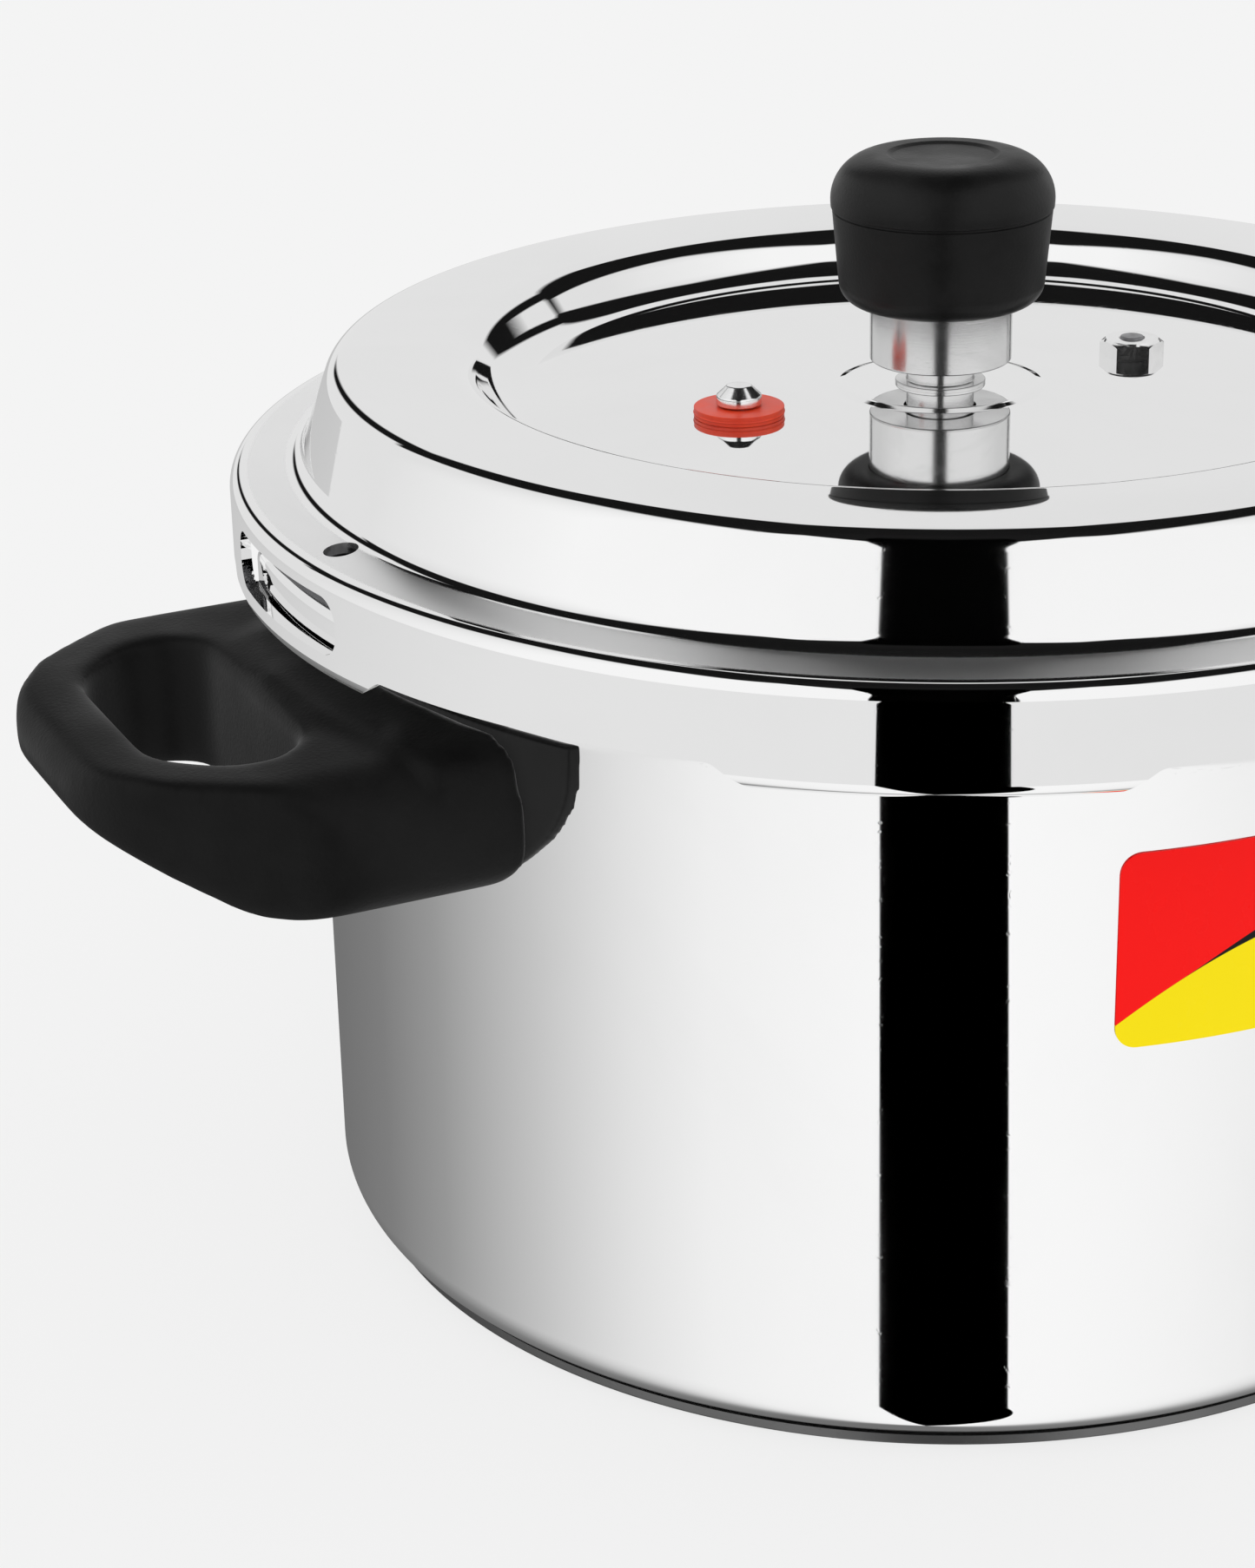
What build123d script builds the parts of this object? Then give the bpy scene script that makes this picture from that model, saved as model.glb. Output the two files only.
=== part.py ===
from build123d import *
import os
from math import asin, cos, degrees, hypot, radians, sin, tan

os.makedirs("parts", exist_ok=True)

# Stovetop pressure cooker with an outer bayonet lid. Millimetres, +Z up.
# The origin is the centre of the base. The long handles point along +X,
# the helper handle along -X, and the label faces -Y.

# ---------------------------------------------------------------- pot
pot_radius = 110.0        # outside of the straight wall
pot_wall = 2.0            # sheet of the wall and floor
rim_height = 131.4        # sealing face of the rim above the base
corner_radius = 8.0       # outside bend from floor to wall
rim_bend = 2.0            # underside bend from wall to rim
rim_width = 6.9           # rim standing out from the wall, between the lugs
lug_reach = 3.7           # bayonet lug past the rim
lug_half_angle = 10.0
lug_wall = 2.0
lug_inner_bend = 0.6
tab_count = 6             # bayonet lugs on the pot, and tabs on the lid

# ---------------------------------------------------------------- sandwich base
cap_sheet = 0.8           # steel cap under the core
cap_bend = 0.4            # inside bend of the cap's edge
core_thickness = 3.4      # aluminium core under the pot floor
core_margin = 9.3         # from the cap's edge in to the step of the floor
core_step_run = 2.2
core_step_bend = 1.0
core_step_foot_bend = 0.5 # inside bend at the foot of the step
base_inset = 4.7          # base cap inside the pot wall
band_height = 2.0         # visible side of the base
fit_clearance = 0.1       # between fixed pieces that slide together on assembly
cutter_margin = 5.0       # cutters run past what they cut by this

# ---------------------------------------------------------------- label
label_width = 58.8
label_height = 32.5
label_drop = 15.0         # below the lid's tabs
label_corner = 3.5
label_thickness = 0.25
label_gap = 0.02

# ---------------------------------------------------------------- lid shell
lid_wall = 1.8
rim_play = 0.8            # lugs inside the skirt, radially
seal_gap = 0.3            # gasket to rim, and gasket to lid
gasket_thickness = 4.2    # at its outer edge
gasket_play = 0.6         # inside the skirt
gasket_cover = 5.4        # from the rim's edge inwards
gasket_groove = 4.0       # open side of its lip
gasket_lip = 1.4
gasket_chamfer = 0.8
ledge_fall = 1.6          # ledge drop from root to edge
ledge_inner_bend = 0.9     # inside bend from ledge to skirt
ledge_root_bend = 3.5
root_offset = 1.0         # root of the riser outside the pot wall
riser_height = 15.9
riser_batter = 5.8        # the riser leans in by this
shoulder_bend = 4.5
crown_rise = 0.6          # top ring crowned between shoulder and dish
crown_bend = 110.0
ring_width = 22.7         # shoulder to the lip of the dish
dish_depth = 7.9
dish_slope = 50.0         # steepest slope of the dish wall
dish_bend = 8.0
pad_radius = 18.2         # raised pad around the vent
pad_rise = 0.5
pad_run = 1.6
pad_bend = 2.5
skirt_depth = 13.5        # ledge edge down to the skirt's edge between tabs
tab_drop = 4.0            # tabs hang below that edge
tab_half_angle = 12.6     # tab at its lower edge
tab_slope_angle = 2.9     # slope at each end of a tab
tab_inner_bend = 0.7
gap_foot_bend = 4.0
gap_head_bend = 3.0
gap_wing_width = 7.0      # the cutter between two tabs runs under them by this
tab_play = 0.9            # rim inside the curled tabs, radially
tab_lug_gap = 0.5         # tab under a locked lug
slot_half_width = 22.0    # gasket release slot in the skirt
slot_height = 9.8
slot_corner = 4.2
slot_above_tab = 4.5
ledge_hole_radius = 2.85
ledge_hole_inset = 7.6    # from the skirt to the hole's centre
ledge_hole_azimuth = 185.0
gap_cut_depth = 34.0      # cutters through the skirt, from outside it
slot_cut_depth = 19.0
hole_cut_depth = 20.0     # cutters above and below the floor of the dish

# ---------------------------------------------------------------- vent and weight
vent_radius = 5.85
vent_collar_radius = 7.8
vent_collar_height = 0.6
vent_top = 20.0           # above the pad
vent_bore = 1.5
vent_chamfer = 1.0
vent_foot_chamfer = 0.6
vent_cross_radius = 1.0   # hole through its foot
vent_cross_height = 2.2   # above the foot
vent_thread_radius = 4.9
vent_thread_length = 10.0
vent_nut_width = 15.0
vent_nut_height = 4.5
vent_washer_radius = 9.5
vent_washer_height = 1.2
hole_clearance = 0.3
weight_radius = 12.25
weight_bore_gap = 0.4     # around the vent
weight_lift_gap = 4.2     # pad to the underside of the weight
weight_body_height = 20.0
weight_round = 0.8
weight_stub_radius = 8.0
weight_stub_height = 7.0
cap_skirt_drop = 10.0     # bare steel showing under the cap
cap_height = 25.6
cap_wall = 4.95           # black cap around the steel body, at the bottom
cap_flare = 1.6           # wider at the top by this
cap_bottom_bend = 4.0
cap_top_bend = 7.6
cap_recess_radius = 9.5
cap_recess_depth = 0.4
cap_recess_slope = 1.0
needle_radius = 2.5
needle_tip_radius = 0.3
needle_tip_depth = 0.9    # below the top of the vent
needle_cone = 2.7
needle_proud = 0.2        # its cylinder below the top of the bore
needle_seat = 5.0         # pressed into the weight body

# ---------------------------------------------------------------- safety plug
fitting_pitch = 39.0      # plug and indicator from the centre
plug_width = 9.8
plug_height = 3.0
plug_chamfer = 0.5
plug_thread_radius = 3.9
plug_core_radius = 2.1
plug_core_proud = 0.35
plug_core_round = 0.3
plug_washer_radius = 7.0
plug_washer_height = 1.0
plug_nut_width = 12.0
plug_nut_height = 3.5

# ---------------------------------------------------------------- pressure indicator
seal_radius = 7.65
seal_height = 1.7
seal_round = 0.6
seal_neck_radius = 4.6
seal_foot_radius = 6.4
seal_foot_height = 1.8
pin_head_radius = 3.85
pin_head_height = 3.3
pin_chamfer_drop = 1.7
pin_chamfer_run = 1.9
pin_stem_radius = 2.0
pin_travel = 3.5
moving_gap = 0.3          # between pieces that move past each other
clip_radius = 3.8
clip_thickness = 1.0
clip_inset = 0.8          # above the pin's foot

# ---------------------------------------------------------------- back plates
plate_sheet = 2.2         # black back plates against the pot
plate_gap = 0.2
plate_height = 27.4
plate_half_width = 56.5
plate_foot_half_width = 42.0
plate_side_height = 12.0  # down to where the lower corners begin
plate_foot_bend = 22.0
main_plate_half_width = 40.0
main_plate_foot_half_width = 29.0
main_plate_side_height = 15.0
main_plate_foot_bend = 9.0

# ---------------------------------------------------------------- brackets and screws
bracket_sheet = 2.0
weld_width = 28.0         # welded foot of a wall bracket
weld_height = 12.5
weld_corner = 1.0
plate_window_gap = 1.0    # window in a back plate around the foot
tongue_root = 0.6         # the tongue starts inside the foot
tongue_width = 18.0
tongue_thickness = 2.5
tongue_drop = 14.5        # middle of both wall tongues below the grips' top
screw_radius = 2.5
screw_gap = 0.03
screw_head_radius = 4.4
screw_head_height = 3.0
screw_slot_width = 1.2
screw_slot_depth = 1.2
screw_sink = 1.0          # heads below the surface
screw_tip_proud = 1.5     # screw past its tongue

# ---------------------------------------------------------------- helper handle
helper_reach = 54.0       # pot wall to the outer edge
helper_half_width = 50.0
helper_straight = 20.0    # straight sides, from the pot wall
helper_front_half_width = 26.0
helper_side_bend = 24.0
helper_corner = 34.0
helper_height = 23.0      # at the root
helper_sink = 3.0         # its top below the main grip's top
helper_keel_reach = 32.0  # flat underside, from the pot wall
helper_nose_drop = 2.5    # outer rim below the top
helper_nose_height = 8.5
helper_crest_reach = 45.0
helper_crest_drop = 1.2   # top falls outwards by this
helper_keel_bend = 14.0
helper_nose_bend = 5.0
helper_crest_bend = 14.0
helper_top_corner = 13.0  # rounding of its sides, seen from the front
helper_foot_corner = 8.0
opening_inner = 18.0      # finger opening, from the pot wall
opening_shoulder = 31.0
opening_outer = 42.0
opening_half_width = 29.0
opening_outer_half_width = 20.0
opening_bend = 9.0
opening_corner = 14.0
handle_seat_gap = 0.1
helper_tongue_reach = 14.0
helper_screw_reach = 9.0

# ---------------------------------------------------------------- main handle
grip_reach = 186.0        # pot wall to the end of the grip
grip_clearance = 2.5      # top of the main grip below the lid's tabs
grip_root_half_width = 31.0
grip_root_height = 25.0
grip_half_width = 15.5
grip_height = 21.0
grip_end_half_width = 17.0
grip_end_height = 15.0
grip_root_sink = 6.0      # its first section lies this far inside the pot wall
grip_root_length = 14.0   # wide root, from the pot wall
grip_root_narrowing = 3.0
grip_root_lift = 0.5
grip_split_reach = 36.0   # the root piece ends here
grip_neck_reach = 42.0
grip_neck_flare = 3.0     # neck wider than the slim part
grip_neck_sag = 1.2
grip_slim_reach = 75.0
grip_swell_length = 60.0  # the slim part ends this far from the end
grip_swell = 0.5
grip_end_length = 20.0
grip_end_lift = 2.0       # underside rises towards the end
grip_nose_length = 3.0
grip_nose_narrowing = 3.0
grip_nose_drop = 1.5
grip_tip_narrowing = 7.0
grip_tip_lift = 3.0
grip_tip_drop = 4.0
grip_root_corner = 6.0    # rounding of the sections of both grips
grip_corner = 8.0
grip_end_corner = 7.5
grip_tip_corner = 3.5
hang_hole_radius = 4.0
hang_hole_inset = 11.0
main_tongue_reach = 66.0
main_screw_reaches = (46.0, 59.0)

# ---------------------------------------------------------------- lid handle
lid_grip_gap = 5.0        # above the main handle
lid_grip_height = 22.0
lid_grip_half_width = 14.5
lid_grip_root_half_width = 22.0
lid_grip_short = 20.0     # shorter than the main handle
lid_grip_root_rise = 12.5 # root above its steel foot
lid_grip_start = 0.5      # past the start of its steel foot
lid_grip_root_reach = 3.0 # past the skirt
lid_grip_neck_reach = 28.0
lid_grip_slim_reach = 60.0
lid_grip_neck_flare = 3.0
lid_grip_neck_fall = 5.0  # below the root
lid_grip_back_narrowing = 2.0
lid_grip_back_drop = 2.0
lid_grip_back_corner = 5.0
lid_grip_neck_corner = 7.0
lid_grip_crown = 0.5
lid_grip_swell_length = 50.0
lid_grip_swell = 0.5
lid_grip_end_length = 18.0
lid_grip_end_flare = 1.0
lid_grip_end_lift = 1.0
lid_grip_nose_narrowing = 2.0
lid_grip_nose_lift = 3.5
lid_grip_nose_drop = 3.0
lid_grip_tip_narrowing = 6.0
lid_grip_tip_lift = 6.0
lid_grip_skirt_gap = 0.4
lid_foot_setback = 0.5    # steel foot ends before the ledge's edge bend
lid_tongue_width = 14.0
lid_tongue_reach = 55.0   # past the skirt
lid_tongue_overlap = 1.0  # into its foot
lid_screw_reaches = (18.0, 44.0)

# ---------------------------------------------------------------- places worked out
base_radius = pot_radius - base_inset
core_step_radius = base_radius - core_margin
core_step_bends = [core_step_bend, pot_wall + core_step_foot_bend]
core_top = cap_sheet + core_thickness
rim_radius = pot_radius + rim_width
lug_radius = rim_radius + lug_reach
skirt_inner = lug_radius + rim_play
skirt_radius = skirt_inner + lid_wall
tab_inner = rim_radius + tab_play
gasket_bottom = rim_height + seal_gap
ledge_edge_height = gasket_bottom + gasket_thickness + seal_gap + lid_wall
ledge_root_height = ledge_edge_height + ledge_fall
root_radius = pot_radius + root_offset
shoulder_radius = root_radius - riser_batter
shoulder_height = ledge_root_height + riser_height
lip_radius = shoulder_radius - ring_width
dish_floor = shoulder_height - dish_depth
dish_foot_radius = lip_radius - dish_depth / tan(radians(dish_slope))
pad_height = dish_floor + pad_rise
skirt_bottom = ledge_edge_height - skirt_depth
tab_bottom = skirt_bottom - tab_drop
lug_bottom = tab_bottom + lid_wall + tab_lug_gap
ledge_edge_bend = lid_wall + ledge_inner_bend
label_top = tab_bottom - label_drop
cap_bottom_radius = weight_radius + cap_wall
cap_top_radius = cap_bottom_radius + cap_flare
grip_top = tab_bottom - grip_clearance
tongue_height = grip_top - tongue_drop
plate_top = grip_top
plate_bottom = plate_top - plate_height
plate_radius = pot_radius + plate_gap + plate_sheet
handle_face = plate_radius + handle_seat_gap
handle_depth = 24.5       # handles run this far inside their face before it is cut round
ledge_grade = ledge_fall / (skirt_radius - root_radius)


def side_plane(azimuth):
    """Upright plane through the axis: local x runs outwards, local y runs up."""
    a = radians(azimuth)
    return Plane(origin=(0, 0, 0), x_dir=(cos(a), sin(a), 0), z_dir=(sin(a), -cos(a), 0))


def facing_plane(azimuth, radius):
    """Upright plane square to a radius: local x runs round the pot, local y runs up."""
    a = radians(azimuth)
    return Plane(
        origin=(radius * cos(a), radius * sin(a), 0),
        x_dir=(-sin(a), cos(a), 0),
        z_dir=(cos(a), sin(a), 0),
    )


def shifted(points, distance):
    """Corners of the line that lies a distance to the right of an open polyline."""
    runs = []
    for (x0, y0), (x1, y1) in zip(points, points[1:]):
        length = hypot(x1 - x0, y1 - y0)
        runs.append(((x1 - x0) / length, (y1 - y0) / length))
    moved = []
    for i, (x, y) in enumerate(points):
        ax, ay = runs[max(i - 1, 0)]
        bx, by = runs[min(i, len(runs) - 1)]
        share = distance / (1 + ax * bx + ay * by)
        moved.append((x + (ay + by) * share, y - (ax + bx) * share))
    return moved


def shifted_bends(points, bends, distance):
    """Bend radii of that shifted line: tighter on the inside of each turn."""
    moved = []
    for i, bend in enumerate(bends):
        (x0, y0), (x1, y1), (x2, y2) = points[i : i + 3]
        turn = (x1 - x0) * (y2 - y1) - (y1 - y0) * (x2 - x1)
        moved.append(bend + distance if turn > 0 else bend - distance)
    return moved


def sheet_outline(points, bends, wall):
    """Closed outline of bent sheet; the wall lies to the right of the outer line."""
    inner = shifted(points, wall)
    FilletPolyline(*points, radius=bends)
    FilletPolyline(*inner, radius=shifted_bends(points, bends, wall))
    Line(points[0], inner[0])
    Line(points[-1], inner[-1])


# ================================================================ pot
step_points = [
    (0, core_top),
    (core_step_radius, core_top),
    (core_step_radius + core_step_run, band_height),
]
pot_points = step_points + [
    (pot_radius, band_height),
    (pot_radius, rim_height - pot_wall),
    (rim_radius, rim_height - pot_wall),
]
pot_bends = core_step_bends + [corner_radius, rim_bend]

with BuildPart() as pot_shell:
    with BuildSketch(side_plane(0)):
        with BuildLine():
            sheet_outline(pot_points, pot_bends, -pot_wall)
        make_face()
    revolve(axis=Axis.Z)
    for tab in range(tab_count):
        with BuildSketch(side_plane(tab * 360 / tab_count - lug_half_angle)):
            with BuildLine():
                sheet_outline(
                    [
                        (rim_radius - lug_wall, rim_height),
                        (lug_radius, rim_height),
                        (lug_radius, lug_bottom),
                    ],
                    [lug_wall + lug_inner_bend],
                    lug_wall,
                )
            make_face()
        revolve(axis=Axis.Z, revolution_arc=2 * lug_half_angle)

# the cup, without the rim that stands out from it
with BuildPart() as pot_body:
    add(pot_shell.part)
    with BuildSketch(Plane.XY):
        Circle(pot_radius)
    extrude(amount=rim_height + cutter_margin, mode=Mode.INTERSECT)
pot_body.part.label = "pot_body"
export_step(pot_body.part, "parts/pot_body.step")

# the rim with its bayonet lugs
with BuildPart() as pot_rim:
    add(pot_shell.part)
    with BuildSketch(Plane.XY):
        Circle(pot_radius)
    extrude(amount=rim_height + cutter_margin, mode=Mode.SUBTRACT)
pot_rim.part.label = "pot_rim"
export_step(pot_rim.part, "parts/pot_rim.step")

with BuildPart() as base_core:
    with BuildSketch(side_plane(0)):
        with BuildLine():
            FilletPolyline(
                *step_points,
                (base_radius - cap_sheet - fit_clearance, band_height),
                radius=core_step_bends,
            )
            Polyline(
                (base_radius - cap_sheet - fit_clearance, band_height),
                (base_radius - cap_sheet - fit_clearance, cap_sheet + cap_bend),
                (base_radius - cap_sheet - fit_clearance - cap_bend, cap_sheet),
                (0, cap_sheet),
                (0, core_top),
            )
        make_face()
    revolve(axis=Axis.Z)
base_core.part.label = "base_core"
export_step(base_core.part, "parts/base_core.step")

with BuildPart() as base_cap:
    with BuildSketch(side_plane(0)):
        with BuildLine():
            sheet_outline(
                [(0, 0), (base_radius, 0), (base_radius, band_height)],
                [cap_sheet + cap_bend],
                -cap_sheet,
            )
        make_face()
    revolve(axis=Axis.Z)
base_cap.part.label = "base_cap"
export_step(base_cap.part, "parts/base_cap.step")

with BuildPart() as front_label:
    with BuildSketch(facing_plane(-90, 0)):
        with Locations((0, label_top - label_height / 2)):
            RectangleRounded(label_width, label_height, label_corner)
    extrude(amount=pot_radius + label_gap + label_thickness)
    with BuildSketch(Plane.XY):
        Circle(pot_radius + label_gap + label_thickness)
        Circle(pot_radius + label_gap, mode=Mode.SUBTRACT)
    extrude(amount=rim_height, mode=Mode.INTERSECT)
front_label.part.label = "front_label"
export_step(front_label.part, "parts/front_label.step")

# ================================================================ lid shell
lid_points = [
    (0, pad_height),
    (pad_radius - pad_run, pad_height),
    (pad_radius, dish_floor),
    (dish_foot_radius, dish_floor),
    (lip_radius, shoulder_height),
    (lip_radius + ring_width / 2, shoulder_height + crown_rise),
    (shoulder_radius, shoulder_height),
    (root_radius, ledge_root_height),
    (skirt_radius, ledge_edge_height),
    (skirt_radius, tab_bottom),
    (tab_inner, tab_bottom),
]
tab_bend = lid_wall + tab_inner_bend
lid_bends = [
    pad_bend,
    pad_bend,
    dish_bend,
    dish_bend,
    crown_bend,
    shoulder_bend,
    ledge_root_bend,
    ledge_edge_bend,
    tab_bend,
]
fitting_hole_radius = seal_neck_radius + fit_clearance
gap_foot = skirt_radius * sin(radians(180 / tab_count - tab_half_angle))
gap_head = skirt_radius * sin(radians(180 / tab_count - tab_half_angle - tab_slope_angle))
gap_wing = gap_foot + gap_wing_width
gap_graze = tab_bottom - fit_clearance   # the notch's wings run just under the tabs
cutter_start = skirt_radius + cutter_margin

with BuildPart() as lid_shell:
    with BuildSketch(side_plane(0)):
        with BuildLine():
            sheet_outline(lid_points, lid_bends, lid_wall)
        make_face()
    revolve(axis=Axis.Z)
    for tab in range(tab_count):
        with BuildSketch(facing_plane((tab + 0.5) * 360 / tab_count, cutter_start)):
            with BuildLine():
                FilletPolyline(
                    (-gap_wing, gap_graze),
                    (-gap_foot, gap_graze),
                    (-gap_head, skirt_bottom),
                    (gap_head, skirt_bottom),
                    (gap_foot, gap_graze),
                    (gap_wing, gap_graze),
                    radius=[gap_foot_bend, gap_head_bend, gap_head_bend, gap_foot_bend],
                )
                Polyline(
                    (gap_wing, gap_graze),
                    (gap_wing, gap_graze - cutter_margin),
                    (-gap_wing, gap_graze - cutter_margin),
                    (-gap_wing, gap_graze),
                )
            make_face()
        extrude(amount=-gap_cut_depth, mode=Mode.SUBTRACT)
    with BuildSketch(facing_plane(180, cutter_start)):
        with Locations((0, tab_bottom + slot_above_tab + slot_height / 2)):
            RectangleRounded(2 * slot_half_width, slot_height, slot_corner)
    extrude(amount=-slot_cut_depth, mode=Mode.SUBTRACT)
    with BuildSketch(Plane.XY.offset(dish_floor - hole_cut_depth)):
        Circle(vent_thread_radius + hole_clearance)
        with Locations((fitting_pitch, 0)):
            Circle(plug_thread_radius + hole_clearance)
        with Locations((-fitting_pitch, 0)):
            Circle(fitting_hole_radius)
        with PolarLocations(skirt_radius - ledge_hole_inset, 1, ledge_hole_azimuth):
            Circle(ledge_hole_radius)
    extrude(amount=2 * hole_cut_depth, mode=Mode.SUBTRACT)
lid_shell.part.label = "lid_shell"
export_step(lid_shell.part, "parts/lid_shell.step")

# ================================================================ gasket
gasket_outer = skirt_inner - gasket_play
gasket_inner = rim_radius - gasket_cover
gasket_outer_top = gasket_bottom + gasket_thickness - seal_gap
gasket_inner_top = gasket_outer_top + (gasket_outer - gasket_inner) * ledge_grade

with BuildPart() as gasket:
    with BuildSketch(side_plane(0)):
        with BuildLine():
            Polyline(
                (gasket_inner, gasket_bottom),
                (gasket_outer, gasket_bottom),
                (gasket_outer, gasket_outer_top - gasket_chamfer),
                (gasket_outer - gasket_chamfer, gasket_outer_top),
                (gasket_inner, gasket_inner_top),
                (gasket_inner, gasket_inner_top - gasket_lip),
                (gasket_inner + gasket_groove, gasket_bottom + gasket_thickness / 2),
                (gasket_inner, gasket_bottom + gasket_lip),
                close=True,
            )
        make_face()
    revolve(axis=Axis.Z)
gasket.part.label = "gasket"
export_step(gasket.part, "parts/gasket.step")

# ================================================================ vent tube
pad_underside = pad_height - lid_wall
floor_underside = dish_floor - lid_wall
vent_head = pad_height + vent_top
vent_foot = pad_underside - vent_thread_length

with BuildPart() as vent_tube:
    with BuildSketch(Plane.XY.offset(pad_height)):
        Circle(vent_collar_radius)
    extrude(amount=vent_collar_height)
    with BuildSketch(Plane.XY.offset(pad_height)):
        Circle(vent_radius)
    extrude(amount=vent_top)
    chamfer(vent_tube.edges().group_by(Axis.Z)[-1], length=vent_chamfer)
    with BuildSketch(Plane.XY.offset(vent_foot)):
        Circle(vent_thread_radius)
    extrude(amount=pad_height - vent_foot)
    chamfer(vent_tube.edges().group_by(Axis.Z)[0], length=vent_foot_chamfer)
    with BuildSketch(Plane.XY.offset(vent_foot)):
        Circle(vent_bore)
    extrude(amount=vent_head - vent_foot, mode=Mode.SUBTRACT)
    with BuildSketch(Plane.XZ.offset(-vent_thread_radius)):
        with Locations((0, vent_foot + vent_cross_height)):
            Circle(vent_cross_radius)
    extrude(amount=2 * vent_thread_radius, mode=Mode.SUBTRACT)
vent_tube.part.label = "vent_tube"
export_step(vent_tube.part, "parts/vent_tube.step")

with BuildPart() as vent_washer:
    with BuildSketch(Plane.XY.offset(pad_underside - vent_washer_height)):
        Circle(vent_washer_radius)
        Circle(vent_thread_radius + hole_clearance, mode=Mode.SUBTRACT)
    extrude(amount=vent_washer_height)
vent_washer.part.label = "vent_washer"
export_step(vent_washer.part, "parts/vent_washer.step")

with BuildPart() as vent_nut:
    with BuildSketch(Plane.XY.offset(pad_underside - vent_washer_height - vent_nut_height)):
        RegularPolygon(vent_nut_width / 2, 6, major_radius=False)
        Circle(vent_thread_radius + fit_clearance / 2, mode=Mode.SUBTRACT)
    extrude(amount=vent_nut_height)
vent_nut.part.label = "vent_nut"
export_step(vent_nut.part, "parts/vent_nut.step")

# ================================================================ safety plug
plug_top = dish_floor + plug_height
plug_foot = floor_underside - plug_washer_height - plug_nut_height - screw_tip_proud

with BuildPart() as safety_plug:
    with BuildSketch(Plane.XY.offset(dish_floor)):
        with Locations((fitting_pitch, 0)):
            RegularPolygon(plug_width / 2, 6, major_radius=False)
    extrude(amount=plug_height)
    chamfer(safety_plug.edges().group_by(Axis.Z)[-1], length=plug_chamfer)
    with BuildSketch(Plane.XY.offset(plug_foot)):
        with Locations((fitting_pitch, 0)):
            Circle(plug_thread_radius)
    extrude(amount=dish_floor - plug_foot)
    with BuildSketch(Plane.XY.offset(plug_foot)):
        with Locations((fitting_pitch, 0)):
            Circle(plug_core_radius + label_gap)
    extrude(amount=plug_top - plug_foot, mode=Mode.SUBTRACT)
safety_plug.part.label = "safety_plug"
export_step(safety_plug.part, "parts/safety_plug.step")

with BuildPart() as safety_plug_core:
    with BuildSketch(Plane.XY.offset(plug_foot)):
        with Locations((fitting_pitch, 0)):
            Circle(plug_core_radius)
    extrude(amount=plug_top + plug_core_proud - plug_foot)
    fillet(safety_plug_core.edges().group_by(Axis.Z)[-1], radius=plug_core_round)
safety_plug_core.part.label = "safety_plug_core"
export_step(safety_plug_core.part, "parts/safety_plug_core.step")

with BuildPart() as safety_plug_washer:
    with BuildSketch(Plane.XY.offset(floor_underside - plug_washer_height)):
        with Locations((fitting_pitch, 0)):
            Circle(plug_washer_radius)
            Circle(plug_thread_radius + hole_clearance, mode=Mode.SUBTRACT)
    extrude(amount=plug_washer_height)
safety_plug_washer.part.label = "safety_plug_washer"
export_step(safety_plug_washer.part, "parts/safety_plug_washer.step")

with BuildPart() as safety_plug_nut:
    with BuildSketch(Plane.XY.offset(floor_underside - plug_washer_height - plug_nut_height)):
        with Locations((fitting_pitch, 0)):
            RegularPolygon(plug_nut_width / 2, 6, major_radius=False)
            Circle(plug_thread_radius + fit_clearance / 2, mode=Mode.SUBTRACT)
    extrude(amount=plug_nut_height)
safety_plug_nut.part.label = "safety_plug_nut"
export_step(safety_plug_nut.part, "parts/safety_plug_nut.step")

# ================================================================ pressure indicator
seal_top = dish_floor + seal_height
seal_foot = floor_underside - seal_foot_height
seal_bore = pin_stem_radius + moving_gap + fit_clearance
pin_seat = seal_top + moving_gap
clip_top = seal_foot - moving_gap - pin_travel
pin_foot = clip_top - clip_thickness - clip_inset

with BuildPart() as indicator_seal:
    with BuildSketch(Plane.XY.offset(dish_floor)):
        with Locations((-fitting_pitch, 0)):
            Circle(seal_radius)
    extrude(amount=seal_height)
    fillet(indicator_seal.edges().group_by(Axis.Z)[-1], radius=seal_round)
    with BuildSketch(Plane.XY.offset(floor_underside)):
        with Locations((-fitting_pitch, 0)):
            Circle(seal_neck_radius)
    extrude(amount=lid_wall)
    with BuildSketch(Plane.XY.offset(seal_foot)):
        with Locations((-fitting_pitch, 0)):
            Circle(seal_foot_radius)
    extrude(amount=seal_foot_height)
    with BuildSketch(Plane.XY.offset(seal_foot)):
        with Locations((-fitting_pitch, 0)):
            Circle(seal_bore)
    extrude(amount=seal_top - seal_foot, mode=Mode.SUBTRACT)
indicator_seal.part.label = "indicator_seal"
export_step(indicator_seal.part, "parts/indicator_seal.step")

with BuildPart() as indicator_pin:
    with BuildSketch(Plane.XY.offset(pin_seat)):
        with Locations((-fitting_pitch, 0)):
            Circle(pin_head_radius)
    extrude(amount=pin_head_height)
    chamfer(indicator_pin.edges().group_by(Axis.Z)[-1], length=pin_chamfer_drop, length2=pin_chamfer_run)
    with BuildSketch(Plane.XY.offset(pin_foot)):
        with Locations((-fitting_pitch, 0)):
            Circle(pin_stem_radius)
    extrude(amount=pin_seat - pin_foot)
indicator_pin.part.label = "indicator_pin"
export_step(indicator_pin.part, "parts/indicator_pin.step")

with BuildPart() as indicator_clip:
    with BuildSketch(Plane.XY.offset(clip_top - clip_thickness)):
        with Locations((-fitting_pitch, 0)):
            Circle(clip_radius)
            Circle(pin_stem_radius + label_gap, mode=Mode.SUBTRACT)
    extrude(amount=clip_thickness)
indicator_clip.part.label = "indicator_clip"
export_step(indicator_clip.part, "parts/indicator_clip.step")

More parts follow.
